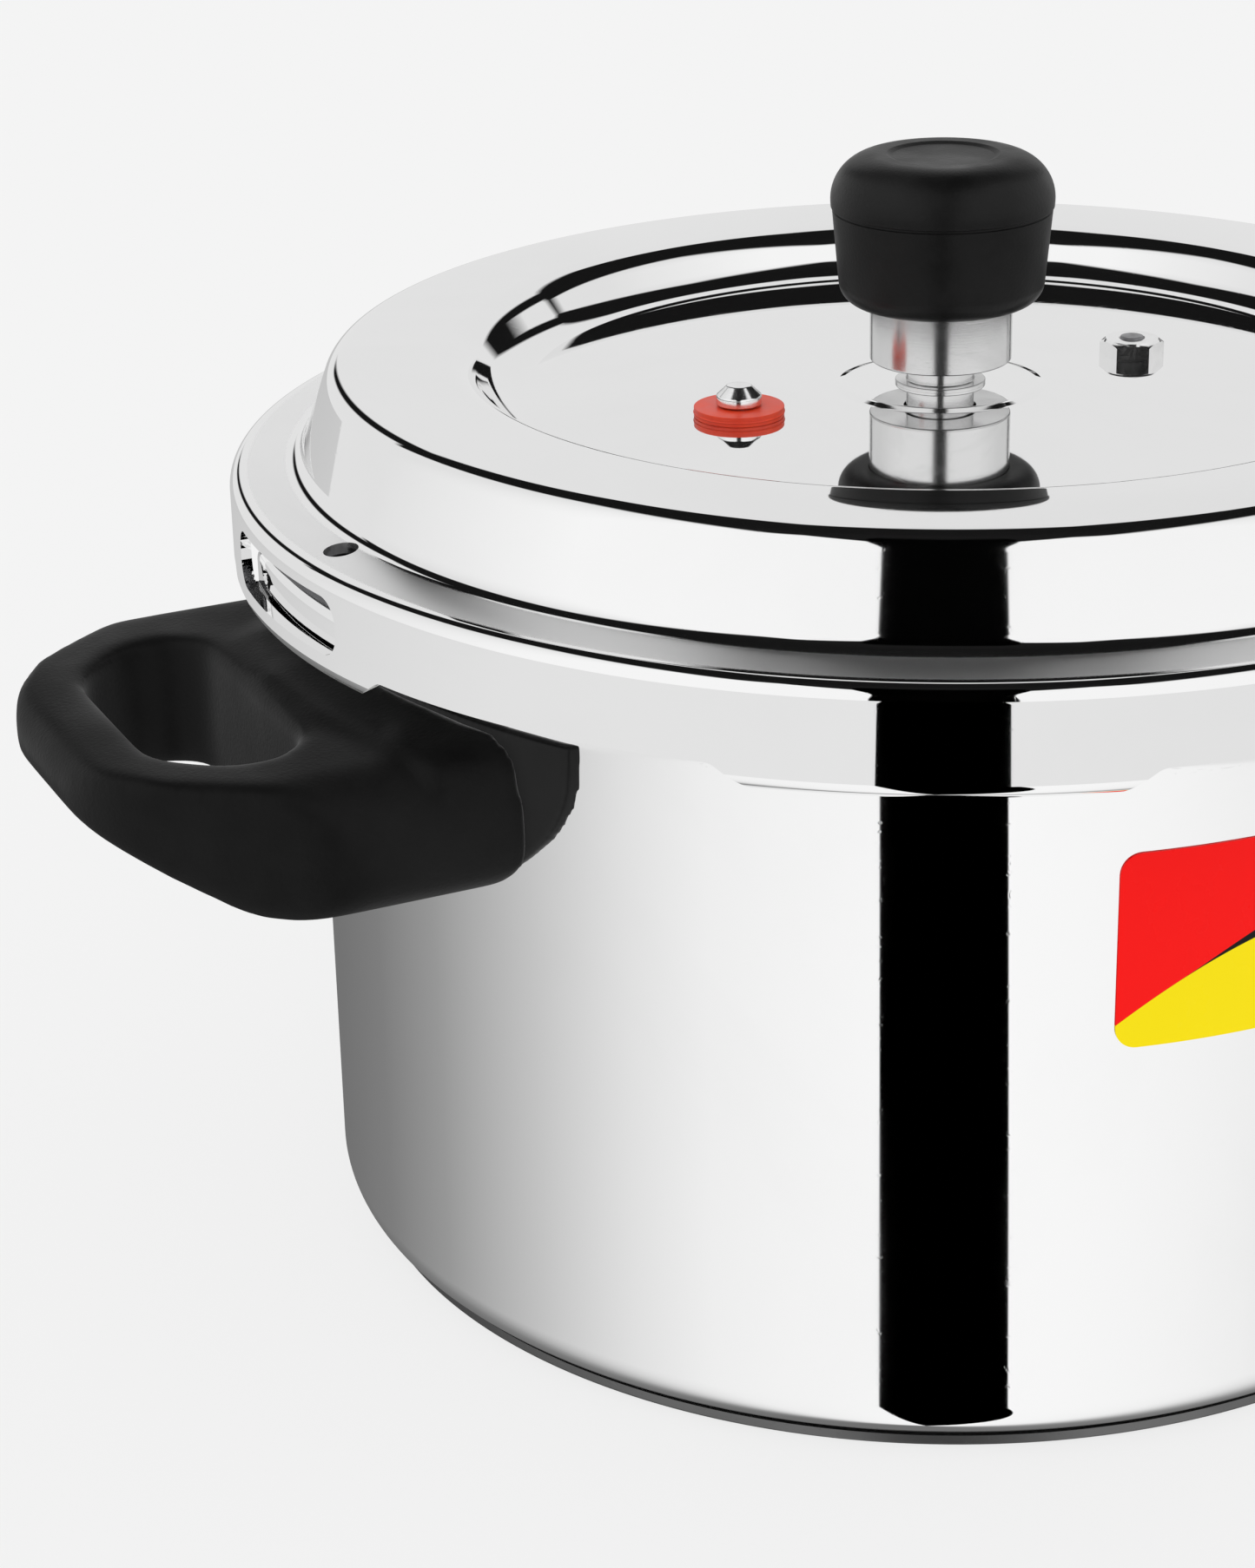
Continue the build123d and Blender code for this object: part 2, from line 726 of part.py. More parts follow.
# ================================================================ regulator weight
weight_bottom = pad_height + weight_lift_gap
weight_top = weight_bottom + weight_body_height
stub_top = weight_top + weight_stub_height
cap_bottom = weight_bottom + cap_skirt_drop
cap_top = cap_bottom + cap_height
needle_tip = vent_head - needle_tip_depth
needle_base = needle_tip + needle_cone
bore_top = needle_base - needle_proud

with BuildPart() as weight_body:
    with BuildSketch(Plane.XY.offset(weight_bottom)):
        Circle(weight_radius)
    extrude(amount=weight_body_height)
    fillet(weight_body.edges().group_by(Axis.Z)[0], radius=weight_round)
    with BuildSketch(Plane.XY.offset(weight_top)):
        Circle(weight_stub_radius)
    extrude(amount=weight_stub_height)
    with BuildSketch(Plane.XY.offset(weight_bottom)):
        Circle(vent_radius + weight_bore_gap)
    extrude(amount=bore_top - weight_bottom, mode=Mode.SUBTRACT)
    with BuildSketch(Plane.XY.offset(bore_top)):
        Circle(needle_radius + label_gap)
    extrude(amount=needle_seat, mode=Mode.SUBTRACT)
weight_body.part.label = "weight_body"
export_step(weight_body.part, "parts/weight_body.step")

with BuildPart() as weight_needle:
    with BuildSketch(side_plane(0)):
        with BuildLine():
            Polyline(
                (0, needle_tip),
                (needle_tip_radius, needle_tip),
                (needle_radius, needle_base),
                (needle_radius, bore_top + needle_seat),
                (0, bore_top + needle_seat),
                close=True,
            )
        make_face()
    revolve(axis=Axis.Z)
weight_needle.part.label = "weight_needle"
export_step(weight_needle.part, "parts/weight_needle.step")

with BuildPart() as weight_cap:
    with BuildSketch(side_plane(0)):
        with BuildLine():
            FilletPolyline(
                (weight_radius + fit_clearance, cap_bottom),
                (cap_bottom_radius, cap_bottom),
                (cap_top_radius, cap_top),
                (cap_recess_radius, cap_top),
                radius=[cap_bottom_bend, cap_top_bend],
            )
            Polyline(
                (cap_recess_radius, cap_top),
                (cap_recess_radius - cap_recess_slope, cap_top - cap_recess_depth),
                (0, cap_top - cap_recess_depth),
                (0, stub_top),
                (weight_stub_radius + fit_clearance, stub_top),
                (weight_stub_radius + fit_clearance, weight_top),
                (weight_radius + fit_clearance, weight_top),
                (weight_radius + fit_clearance, cap_bottom),
            )
        make_face()
    revolve(axis=Axis.Z)
weight_cap.part.label = "weight_cap"
export_step(weight_cap.part, "parts/weight_cap.step")

# ================================================================ brackets, plates and screws
def back_plate(azimuth, half_width, foot_half_width, side_height, foot_bend):
    """Black plate between a handle and the pot wall, with a window for the bracket."""
    shoulder = plate_top - side_height
    with BuildPart() as plate:
        with BuildSketch(facing_plane(azimuth, 0)):
            with BuildLine():
                FilletPolyline(
                    (half_width, plate_top),
                    (half_width, shoulder),
                    (foot_half_width, plate_bottom),
                    (-foot_half_width, plate_bottom),
                    (-half_width, shoulder),
                    (-half_width, plate_top),
                    radius=[foot_bend] * 4,
                )
                Line((-half_width, plate_top), (half_width, plate_top))
            make_face()
        extrude(amount=plate_radius)
        with BuildSketch(Plane.XY):
            Circle(plate_radius)
            Circle(pot_radius + plate_gap, mode=Mode.SUBTRACT)
        extrude(amount=rim_height, mode=Mode.INTERSECT)
        with BuildSketch(facing_plane(azimuth, 0)):
            with Locations((0, tongue_height)):
                RectangleRounded(
                    weld_width + 2 * plate_window_gap,
                    weld_height + 2 * plate_window_gap,
                    weld_corner,
                )
        extrude(amount=plate_radius + cutter_margin, mode=Mode.SUBTRACT)
    return plate.part


def wall_bracket(azimuth, reach, screw_reaches):
    """Steel foot welded to the pot wall, with a tongue that runs into the handle."""
    along = side_plane(azimuth)
    with BuildPart() as bracket:
        with BuildSketch(facing_plane(azimuth, 0)):
            with Locations((0, tongue_height)):
                RectangleRounded(weld_width, weld_height, weld_corner)
        extrude(amount=pot_radius + bracket_sheet)
        with BuildSketch(Plane.XY):
            Circle(pot_radius + bracket_sheet)
            Circle(pot_radius, mode=Mode.SUBTRACT)
        extrude(amount=rim_height, mode=Mode.INTERSECT)
        with BuildSketch(facing_plane(azimuth, pot_radius + tongue_root)):
            with Locations((0, tongue_height)):
                Rectangle(tongue_width, tongue_thickness)
        extrude(amount=reach - tongue_root)
        for screw_reach in screw_reaches:
            centre = along.from_local_coords((pot_radius + screw_reach, 0, 0))
            with BuildSketch(Plane.XY.offset(tongue_height - tongue_thickness)):
                with Locations((centre.X, centre.Y)):
                    Circle(screw_radius + screw_gap)
            extrude(amount=2 * tongue_thickness, mode=Mode.SUBTRACT)
    return bracket.part


def screw_row(places, head_bottom, tip):
    """Slotted screws driven from below, one solid at each place."""
    with BuildPart() as row:
        with BuildSketch(Plane.XY.offset(head_bottom)):
            with Locations(*places):
                Circle(screw_head_radius)
        extrude(amount=screw_head_height)
        with BuildSketch(Plane.XY.offset(head_bottom)):
            with Locations(*places):
                Rectangle(2 * screw_head_radius + screw_slot_width, screw_slot_width)
        extrude(amount=screw_slot_depth, mode=Mode.SUBTRACT)
        with BuildSketch(Plane.XY.offset(head_bottom + screw_head_height)):
            with Locations(*places):
                Circle(screw_radius)
        extrude(amount=tip - head_bottom - screw_head_height)
    return row.part


def screw_seats(places, seat, bottom, top):
    """Head recesses and shank holes for a row of screws, as one cutter."""
    with BuildPart() as seats:
        with BuildSketch(Plane.XY.offset(bottom)):
            with Locations(*places):
                Circle(screw_head_radius + screw_gap + fit_clearance)
        extrude(amount=seat - bottom)
        with BuildSketch(Plane.XY.offset(bottom)):
            with Locations(*places):
                Circle(screw_radius + screw_gap + fit_clearance)
        extrude(amount=top - bottom)
    return seats.part


def grip(sections):
    """Smooth grip along +X through rounded sections: x, half width, bottom, top, corner."""
    with BuildPart() as body:
        for x, half_width, bottom, top, corner in sections:
            with BuildSketch(facing_plane(0, x)):
                with Locations((0, (bottom + top) / 2)):
                    RectangleRounded(2 * half_width, top - bottom, corner)
        loft()
    return body.part


tongue_top = tongue_height + tongue_thickness / 2
wall_screw_tip = tongue_top + screw_tip_proud

helper_bracket = wall_bracket(180, helper_tongue_reach, [helper_screw_reach])
helper_bracket.label = "helper_bracket"
export_step(helper_bracket, "parts/helper_bracket.step")

main_bracket = wall_bracket(0, main_tongue_reach, main_screw_reaches)
main_bracket.label = "main_bracket"
export_step(main_bracket, "parts/main_bracket.step")

helper_back_plate = back_plate(
    180, plate_half_width, plate_foot_half_width, plate_side_height, plate_foot_bend
)
helper_back_plate.label = "helper_back_plate"
export_step(helper_back_plate, "parts/helper_back_plate.step")

main_back_plate = back_plate(
    0,
    main_plate_half_width,
    main_plate_foot_half_width,
    main_plate_side_height,
    main_plate_foot_bend,
)
main_back_plate.label = "main_back_plate"
export_step(main_back_plate, "parts/main_back_plate.step")

# ================================================================ helper handle
helper_edge = pot_radius + helper_reach
helper_root = handle_face - handle_depth
helper_top = grip_top - helper_sink
helper_bottom = helper_top - helper_height
helper_nose_top = helper_top - helper_nose_drop
helper_nose_bottom = helper_nose_top - helper_nose_height
helper_bend_start = pot_radius + helper_straight
helper_screw_places = [(-pot_radius - helper_screw_reach, 0)]
helper_screw_seat = helper_bottom + screw_sink + screw_head_height
helper_seats = screw_seats(
    helper_screw_places, helper_screw_seat, helper_bottom, wall_screw_tip + fit_clearance
)

with BuildPart() as helper_handle:
    with BuildSketch(Plane.XY.offset(helper_bottom)):
        with BuildLine():
            FilletPolyline(
                (-helper_root, helper_half_width),
                (-helper_bend_start, helper_half_width),
                (-helper_edge, helper_front_half_width),
                (-helper_edge, -helper_front_half_width),
                (-helper_bend_start, -helper_half_width),
                (-helper_root, -helper_half_width),
                radius=[helper_side_bend, helper_corner, helper_corner, helper_side_bend],
            )
            Line((-helper_root, -helper_half_width), (-helper_root, helper_half_width))
        make_face()
    extrude(amount=helper_top - helper_bottom)
    with BuildSketch(side_plane(180)):
        with BuildLine():
            FilletPolyline(
                (helper_root, helper_bottom),
                (pot_radius + helper_keel_reach, helper_bottom),
                (helper_edge, helper_nose_bottom),
                (helper_edge, helper_nose_top),
                (pot_radius + helper_crest_reach, helper_top - helper_crest_drop),
                (pot_radius, helper_top),
                radius=[
                    helper_keel_bend,
                    helper_nose_bend,
                    helper_nose_bend,
                    helper_crest_bend,
                ],
            )
            Polyline((pot_radius, helper_top), (helper_root, helper_top), (helper_root, helper_bottom))
        make_face()
    extrude(amount=helper_half_width, both=True, mode=Mode.INTERSECT)
    with BuildSketch(facing_plane(180, 0)):
        with BuildLine():
            FilletPolyline(
                (helper_half_width, helper_top),
                (helper_half_width, helper_bottom),
                (-helper_half_width, helper_bottom),
                (-helper_half_width, helper_top),
                radius=[
                    helper_top_corner,
                    helper_foot_corner,
                    helper_foot_corner,
                    helper_top_corner,
                ],
                close=True,
            )
        make_face()
    extrude(amount=helper_edge, mode=Mode.INTERSECT)
    with BuildSketch(Plane.XY.offset(helper_bottom)):
        Circle(handle_face)
    extrude(amount=helper_top - helper_bottom, mode=Mode.SUBTRACT)
    with BuildSketch(Plane.XY.offset(helper_bottom)):
        with BuildLine():
            FilletPolyline(
                (-pot_radius - opening_inner, opening_half_width),
                (-pot_radius - opening_shoulder, opening_half_width),
                (-pot_radius - opening_outer, opening_outer_half_width),
                (-pot_radius - opening_outer, -opening_outer_half_width),
                (-pot_radius - opening_shoulder, -opening_half_width),
                (-pot_radius - opening_inner, -opening_half_width),
                radius=[opening_bend] * 2 + [opening_corner] * 2 + [opening_bend] * 2,
                close=True,
            )
        make_face()
    extrude(amount=helper_top - helper_bottom, mode=Mode.SUBTRACT)
    with BuildSketch(facing_plane(180, 0)):
        with Locations((0, tongue_height)):
            Rectangle(tongue_width + 2 * fit_clearance, tongue_thickness + 2 * fit_clearance)
    extrude(amount=pot_radius + helper_tongue_reach + fit_clearance, mode=Mode.SUBTRACT)
    add(helper_seats, mode=Mode.SUBTRACT)
helper_handle.part.label = "helper_handle"
export_step(helper_handle.part, "parts/helper_handle.step")

helper_screw = screw_row(helper_screw_places, helper_bottom + screw_sink, wall_screw_tip)
helper_screw.label = "helper_screw"
export_step(helper_screw, "parts/helper_screw.step")


# ================================================================ main handle
grip_bottom = grip_top - grip_height
grip_root_bottom = grip_top - grip_root_height
grip_end = pot_radius + grip_reach
main_screw_places = [(pot_radius + reach, 0) for reach in main_screw_reaches]
main_screw_head = grip_bottom + screw_sink
main_screw_seat = main_screw_head + screw_head_height

main_seats = screw_seats(
    main_screw_places, main_screw_seat, grip_root_bottom - cutter_margin, wall_screw_tip + fit_clearance
)
main_grip = grip(
    [
        (
            pot_radius - grip_root_sink,
            grip_root_half_width,
            grip_root_bottom,
            grip_top,
            grip_root_corner,
        ),
        (
            pot_radius + grip_root_length,
            grip_root_half_width - grip_root_narrowing,
            grip_root_bottom + grip_root_lift,
            grip_top,
            grip_corner,
        ),
        (
            pot_radius + grip_neck_reach,
            grip_half_width + grip_neck_flare,
            grip_bottom - grip_neck_sag,
            grip_top,
            grip_corner,
        ),
        (pot_radius + grip_slim_reach, grip_half_width, grip_bottom, grip_top, grip_corner),
        (
            grip_end - grip_swell_length,
            grip_half_width + grip_swell,
            grip_bottom,
            grip_top,
            grip_corner,
        ),
        (
            grip_end - grip_end_length,
            grip_end_half_width,
            grip_bottom + grip_end_lift,
            grip_top,
            grip_end_corner,
        ),
        (
            grip_end - grip_nose_length,
            grip_end_half_width - grip_nose_narrowing,
            grip_top - grip_end_height,
            grip_top - grip_nose_drop,
            grip_root_corner,
        ),
        (
            grip_end,
            grip_end_half_width - grip_tip_narrowing,
            grip_top - grip_end_height + grip_tip_lift,
            grip_top - grip_tip_drop,
            grip_tip_corner,
        ),
    ]
)

with BuildPart() as main_moulding:
    add(main_grip)
    with BuildSketch(Plane.XY.offset(grip_root_bottom - cutter_margin)):
        Circle(handle_face)
    extrude(amount=grip_top - grip_root_bottom + 2 * cutter_margin, mode=Mode.SUBTRACT)
    with BuildSketch(Plane.XY.offset(grip_bottom - cutter_margin)):
        with Locations((grip_end - hang_hole_inset, 0)):
            Circle(hang_hole_radius)
    extrude(amount=grip_height + 2 * cutter_margin, mode=Mode.SUBTRACT)
    with BuildSketch(facing_plane(0, 0)):
        with Locations((0, tongue_height)):
            Rectangle(tongue_width + 2 * fit_clearance, tongue_thickness + 2 * fit_clearance)
    extrude(amount=pot_radius + main_tongue_reach + fit_clearance, mode=Mode.SUBTRACT)
    add(main_seats, mode=Mode.SUBTRACT)

# the flared root and the slim grip are one moulding, in two simple pieces
with BuildPart() as main_handle_root:
    add(main_moulding.part)
    split(bisect_by=facing_plane(0, pot_radius + grip_split_reach), keep=Keep.BOTTOM)
main_handle_root.part.label = "main_handle_root"
export_step(main_handle_root.part, "parts/main_handle_root.step")

with BuildPart() as main_handle:
    add(main_moulding.part)
    split(bisect_by=facing_plane(0, pot_radius + grip_split_reach), keep=Keep.TOP)
main_handle.part.label = "main_handle"
export_step(main_handle.part, "parts/main_handle.step")

main_screws = screw_row(main_screw_places, main_screw_head, wall_screw_tip)
main_screws.label = "main_screws"
export_step(main_screws, "parts/main_screws.step")

# ================================================================ lid handle
lid_foot_start = root_radius + ledge_root_bend
lid_foot_bottom = ledge_root_height - (lid_foot_start - root_radius) * ledge_grade
lid_foot_end = skirt_radius - ledge_edge_bend - lid_foot_setback
lid_foot_end_height = ledge_root_height - (lid_foot_end - root_radius) * ledge_grade
lid_foot_top = lid_foot_bottom + bracket_sheet
lid_foot_half_angle = degrees(asin(lid_grip_root_half_width / lid_foot_end))
lid_tongue_end = skirt_radius + lid_tongue_reach
lid_screw_places = [(skirt_radius + reach, 0) for reach in lid_screw_reaches]
lid_grip_bottom = grip_top + lid_grip_gap
lid_grip_top = lid_grip_bottom + lid_grip_height
lid_grip_end = grip_end - lid_grip_short
lid_root_top = lid_foot_top + lid_grip_root_rise
lid_screw_head = lid_grip_bottom + screw_sink
lid_screw_seat = lid_screw_head + screw_head_height
lid_screw_tip = lid_foot_top + screw_tip_proud

with BuildPart() as lid_bracket:
    with BuildSketch(side_plane(-lid_foot_half_angle)):
        with BuildLine():
            Polyline(
                (lid_foot_start, lid_foot_bottom),
                (lid_foot_end, lid_foot_end_height),
                (lid_foot_end, lid_foot_top),
                (lid_foot_start, lid_foot_top),
                close=True,
            )
        make_face()
    revolve(axis=Axis.Z, revolution_arc=2 * lid_foot_half_angle)
    with BuildSketch(facing_plane(0, lid_foot_start + lid_tongue_overlap)):
        with Locations((0, lid_foot_top - bracket_sheet / 2)):
            Rectangle(lid_tongue_width, bracket_sheet)
    extrude(amount=lid_tongue_end - lid_foot_start - lid_tongue_overlap)
    with BuildSketch(Plane.XY.offset(lid_foot_bottom - cutter_margin)):
        with Locations(*lid_screw_places):
            Circle(screw_radius + screw_gap)
    extrude(amount=bracket_sheet + 2 * cutter_margin, mode=Mode.SUBTRACT)
lid_bracket.part.label = "lid_bracket"
export_step(lid_bracket.part, "parts/lid_bracket.step")

lid_seats = screw_seats(
    lid_screw_places, lid_screw_seat, lid_grip_bottom - cutter_margin, lid_screw_tip + fit_clearance
)
lid_grip = grip(
    [
        (
            lid_foot_start + lid_grip_start,
            lid_grip_root_half_width - lid_grip_back_narrowing,
            lid_grip_bottom,
            lid_root_top - lid_grip_back_drop,
            lid_grip_back_corner,
        ),
        (
            skirt_radius + lid_grip_root_reach,
            lid_grip_root_half_width,
            lid_grip_bottom,
            lid_root_top,
            grip_root_corner,
        ),
        (
            skirt_radius + lid_grip_neck_reach,
            lid_grip_half_width + lid_grip_neck_flare,
            lid_grip_bottom,
            lid_root_top - lid_grip_neck_fall,
            lid_grip_neck_corner,
        ),
        (
            skirt_radius + lid_grip_slim_reach,
            lid_grip_half_width,
            lid_grip_bottom,
            lid_grip_top + lid_grip_crown,
            grip_corner,
        ),
        (
            lid_grip_end - lid_grip_swell_length,
            lid_grip_half_width + lid_grip_swell,
            lid_grip_bottom,
            lid_grip_top,
            grip_corner,
        ),
        (
            lid_grip_end - lid_grip_end_length,
            lid_grip_half_width + lid_grip_end_flare,
            lid_grip_bottom + lid_grip_end_lift,
            lid_grip_top - lid_grip_end_lift,
            grip_end_corner,
        ),
        (
            lid_grip_end - grip_nose_length,
            lid_grip_half_width - lid_grip_nose_narrowing,
            lid_grip_bottom + lid_grip_nose_lift,
            lid_grip_top - lid_grip_nose_drop,
            grip_root_corner,
        ),
        (
            lid_grip_end,
            lid_grip_half_width - lid_grip_tip_narrowing,
            lid_grip_bottom + lid_grip_tip_lift,
            lid_grip_top - lid_grip_tip_lift,
            grip_tip_corner,
        ),
    ]
)

with BuildPart() as lid_handle:
    add(lid_grip)
    with BuildSketch(Plane.XY.offset(lid_grip_bottom - cutter_margin)):
        Circle(skirt_radius + lid_grip_skirt_gap)
    extrude(amount=lid_foot_top + fit_clearance - lid_grip_bottom + cutter_margin, mode=Mode.SUBTRACT)
    with BuildSketch(facing_plane(0, 0)):
        with Locations((0, lid_foot_top - bracket_sheet / 2)):
            Rectangle(lid_tongue_width + 2 * fit_clearance, bracket_sheet + 2 * fit_clearance)
    extrude(amount=lid_tongue_end + fit_clearance, mode=Mode.SUBTRACT)
    add(lid_seats, mode=Mode.SUBTRACT)
lid_handle.part.label = "lid_handle"
export_step(lid_handle.part, "parts/lid_handle.step")

lid_screws = screw_row(lid_screw_places, lid_screw_head, lid_screw_tip)
lid_screws.label = "lid_screws"
export_step(lid_screws, "parts/lid_screws.step")
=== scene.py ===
from math import ceil, cos, degrees, hypot, pi, radians, sin, sqrt, tan

import bmesh
import bpy
import numpy as np
from mathutils import Matrix, Vector


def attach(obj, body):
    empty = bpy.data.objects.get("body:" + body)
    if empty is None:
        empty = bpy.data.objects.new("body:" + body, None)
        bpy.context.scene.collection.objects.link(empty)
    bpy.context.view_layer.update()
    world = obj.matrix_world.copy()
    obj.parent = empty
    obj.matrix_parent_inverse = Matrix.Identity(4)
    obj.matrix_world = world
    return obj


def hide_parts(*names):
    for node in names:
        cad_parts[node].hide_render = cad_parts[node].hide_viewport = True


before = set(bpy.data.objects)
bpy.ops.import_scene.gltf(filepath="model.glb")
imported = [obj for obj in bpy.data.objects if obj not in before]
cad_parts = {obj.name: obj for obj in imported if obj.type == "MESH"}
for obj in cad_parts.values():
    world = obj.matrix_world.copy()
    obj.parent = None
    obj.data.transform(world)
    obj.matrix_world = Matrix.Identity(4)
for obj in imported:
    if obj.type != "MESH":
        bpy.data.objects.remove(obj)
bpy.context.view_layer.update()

MM = 0.001

# ------------------------------------------------------------------ sizes in millimetres
POT_RADIUS = 110.0
RIM_HEIGHT = 131.4
LUG_COUNT = 6
LUG_HALF_ANGLE = 10.0
LID_WALL = 1.8
SKIRT_RADIUS = 123.2
TAB_BOTTOM = 120.5
SKIRT_BOTTOM = 124.5
DISH_FLOOR = 147.6
PAD_HEIGHT = 148.1
PITCH = 39.0
CAMERA_AZIMUTH = -120.0
LABEL_BOTTOM = 73.0
LABEL_HEIGHT = 32.5


# ------------------------------------------------------------------ outlines
def bend(points, radii, step=5.0):
    """Open line through points with a round bend of the given radius at each inner corner."""
    line = [points[0]]
    for i, radius in enumerate(radii):
        a, b, c = (np.array(points[i + k], float) for k in range(3))
        u, v = (a - b) / np.linalg.norm(a - b), (c - b) / np.linalg.norm(c - b)
        turn = pi - np.arccos(np.clip(u @ v, -1, 1))
        reach = radius * tan(turn / 2)
        start = b + u * reach
        side = np.array([u[1], -u[0]])
        side = side if side @ v > 0 else -side
        centre = start + side * radius
        first = start - centre
        sweep = 1 if (-u[0] * v[1] + u[1] * v[0]) > 0 else -1
        count = max(3, ceil(degrees(turn) / step))
        for k in range(count + 1):
            t = sweep * turn * k / count
            x = first[0] * cos(t) - first[1] * sin(t)
            y = first[0] * sin(t) + first[1] * cos(t)
            line.append((centre[0] + x, centre[1] + y))
    line.append(points[-1])
    return line


def rounded(corners, radii, step):
    """Closed outline through corners, each with a round bend of the given radius."""
    return bend(corners + corners[:2], radii, step)[1:-1]


def shifted(points, distance):
    """Corners of the line that lies a distance to the right of an open line."""
    runs = []
    for (x0, y0), (x1, y1) in zip(points, points[1:]):
        length = hypot(x1 - x0, y1 - y0)
        runs.append(((x1 - x0) / length, (y1 - y0) / length))
    moved = []
    for i, (x, y) in enumerate(points):
        ax, ay = runs[max(i - 1, 0)]
        bx, by = runs[min(i, len(runs) - 1)]
        share = distance / (1 + ax * bx + ay * by)
        moved.append((x + (ay + by) * share, y - (ax + bx) * share))
    return moved


def sheet(points, bends, wall):
    """Closed outline of bent sheet, with its wall to the right of the line and softened edges."""
    inner = shifted(points, wall)
    inner_bends = []
    for i, radius in enumerate(bends):
        (x0, y0), (x1, y1), (x2, y2) = points[i : i + 3]
        turn = (x1 - x0) * (y2 - y1) - (y1 - y0) * (x2 - x1)
        inner_bends.append(radius + wall if turn > 0 else radius - wall)
    return bend(points, bends) + bend(inner, inner_bends)[::-1]


# ------------------------------------------------------------------ meshes
def band(a, b, n):
    """Faces between two closed rings of n corners that start at a and at b."""
    return [(a + i, a + (i + 1) % n, b + (i + 1) % n, b + i) for i in range(n)]


def piece(name, verts, faces, material, body):
    mesh = bpy.data.meshes.new(name)
    mesh.from_pydata([(x * MM, y * MM, z * MM) for x, y, z in verts], [], faces)
    obj = bpy.data.objects.new(name, mesh)
    bpy.context.scene.collection.objects.link(obj)
    tidy(obj)
    dress(obj, material, body)
    return obj


def tidy(obj):
    bm = bmesh.new()
    bm.from_mesh(obj.data)
    bmesh.ops.remove_doubles(bm, verts=bm.verts, dist=1e-7)
    bmesh.ops.dissolve_degenerate(bm, edges=bm.edges, dist=1e-8)
    bmesh.ops.recalc_face_normals(bm, faces=bm.faces)
    bm.to_mesh(obj.data)
    bm.free()


def dress(obj, material, body):
    if material:
        obj.data.materials.clear()
        obj.data.materials.append(material)
    if body:
        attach(obj, body)


def soften(obj, angle=35.0):
    obj.data.shade_smooth()
    obj.data.set_sharp_from_angle(angle=radians(angle))
    return obj


def evaluated(obj):
    """The object's mesh with its modifiers applied, put back in the object."""
    bpy.context.view_layer.update()
    graph = bpy.context.evaluated_depsgraph_get()
    mesh = bpy.data.meshes.new_from_object(obj.evaluated_get(graph), depsgraph=graph)
    obj.modifiers.clear()
    obj.data = mesh
    return obj


def lathe(name, outline, material, body, segments=192, centre=(0.0, 0.0), polished=True):
    """Solid of revolution about an upright axis, from a closed outline of radius and height."""
    rings = [[] for _ in outline]
    verts = []
    for i, (r, z) in enumerate(outline):
        count = 1 if r < 1e-6 else segments
        for k in range(count):
            t = 2 * pi * k / segments
            rings[i].append(len(verts))
            verts.append((centre[0] + r * cos(t), centre[1] + r * sin(t), z))
    faces = []
    for i in range(len(outline)):
        a, b = rings[i], rings[(i + 1) % len(outline)]
        if len(a) == 1 and len(b) == 1:
            continue
        for k in range(segments):
            n = (k + 1) % segments
            if len(a) == 1:
                faces.append((a[0], b[n], b[k]))
            elif len(b) == 1:
                faces.append((a[k], a[n], b[0]))
            else:
                faces.append((a[k], a[n], b[n], b[k]))
    obj = piece(name, verts, faces, material, body)
    return polish(obj, outline, centre) if polished else obj


def read(items, attribute, width=1, kind=float):
    """One attribute of every item of a mesh, as an array."""
    values = np.empty(len(items) * width, kind)
    items.foreach_get(attribute, values)
    return values.reshape(-1, width) if width > 1 else values


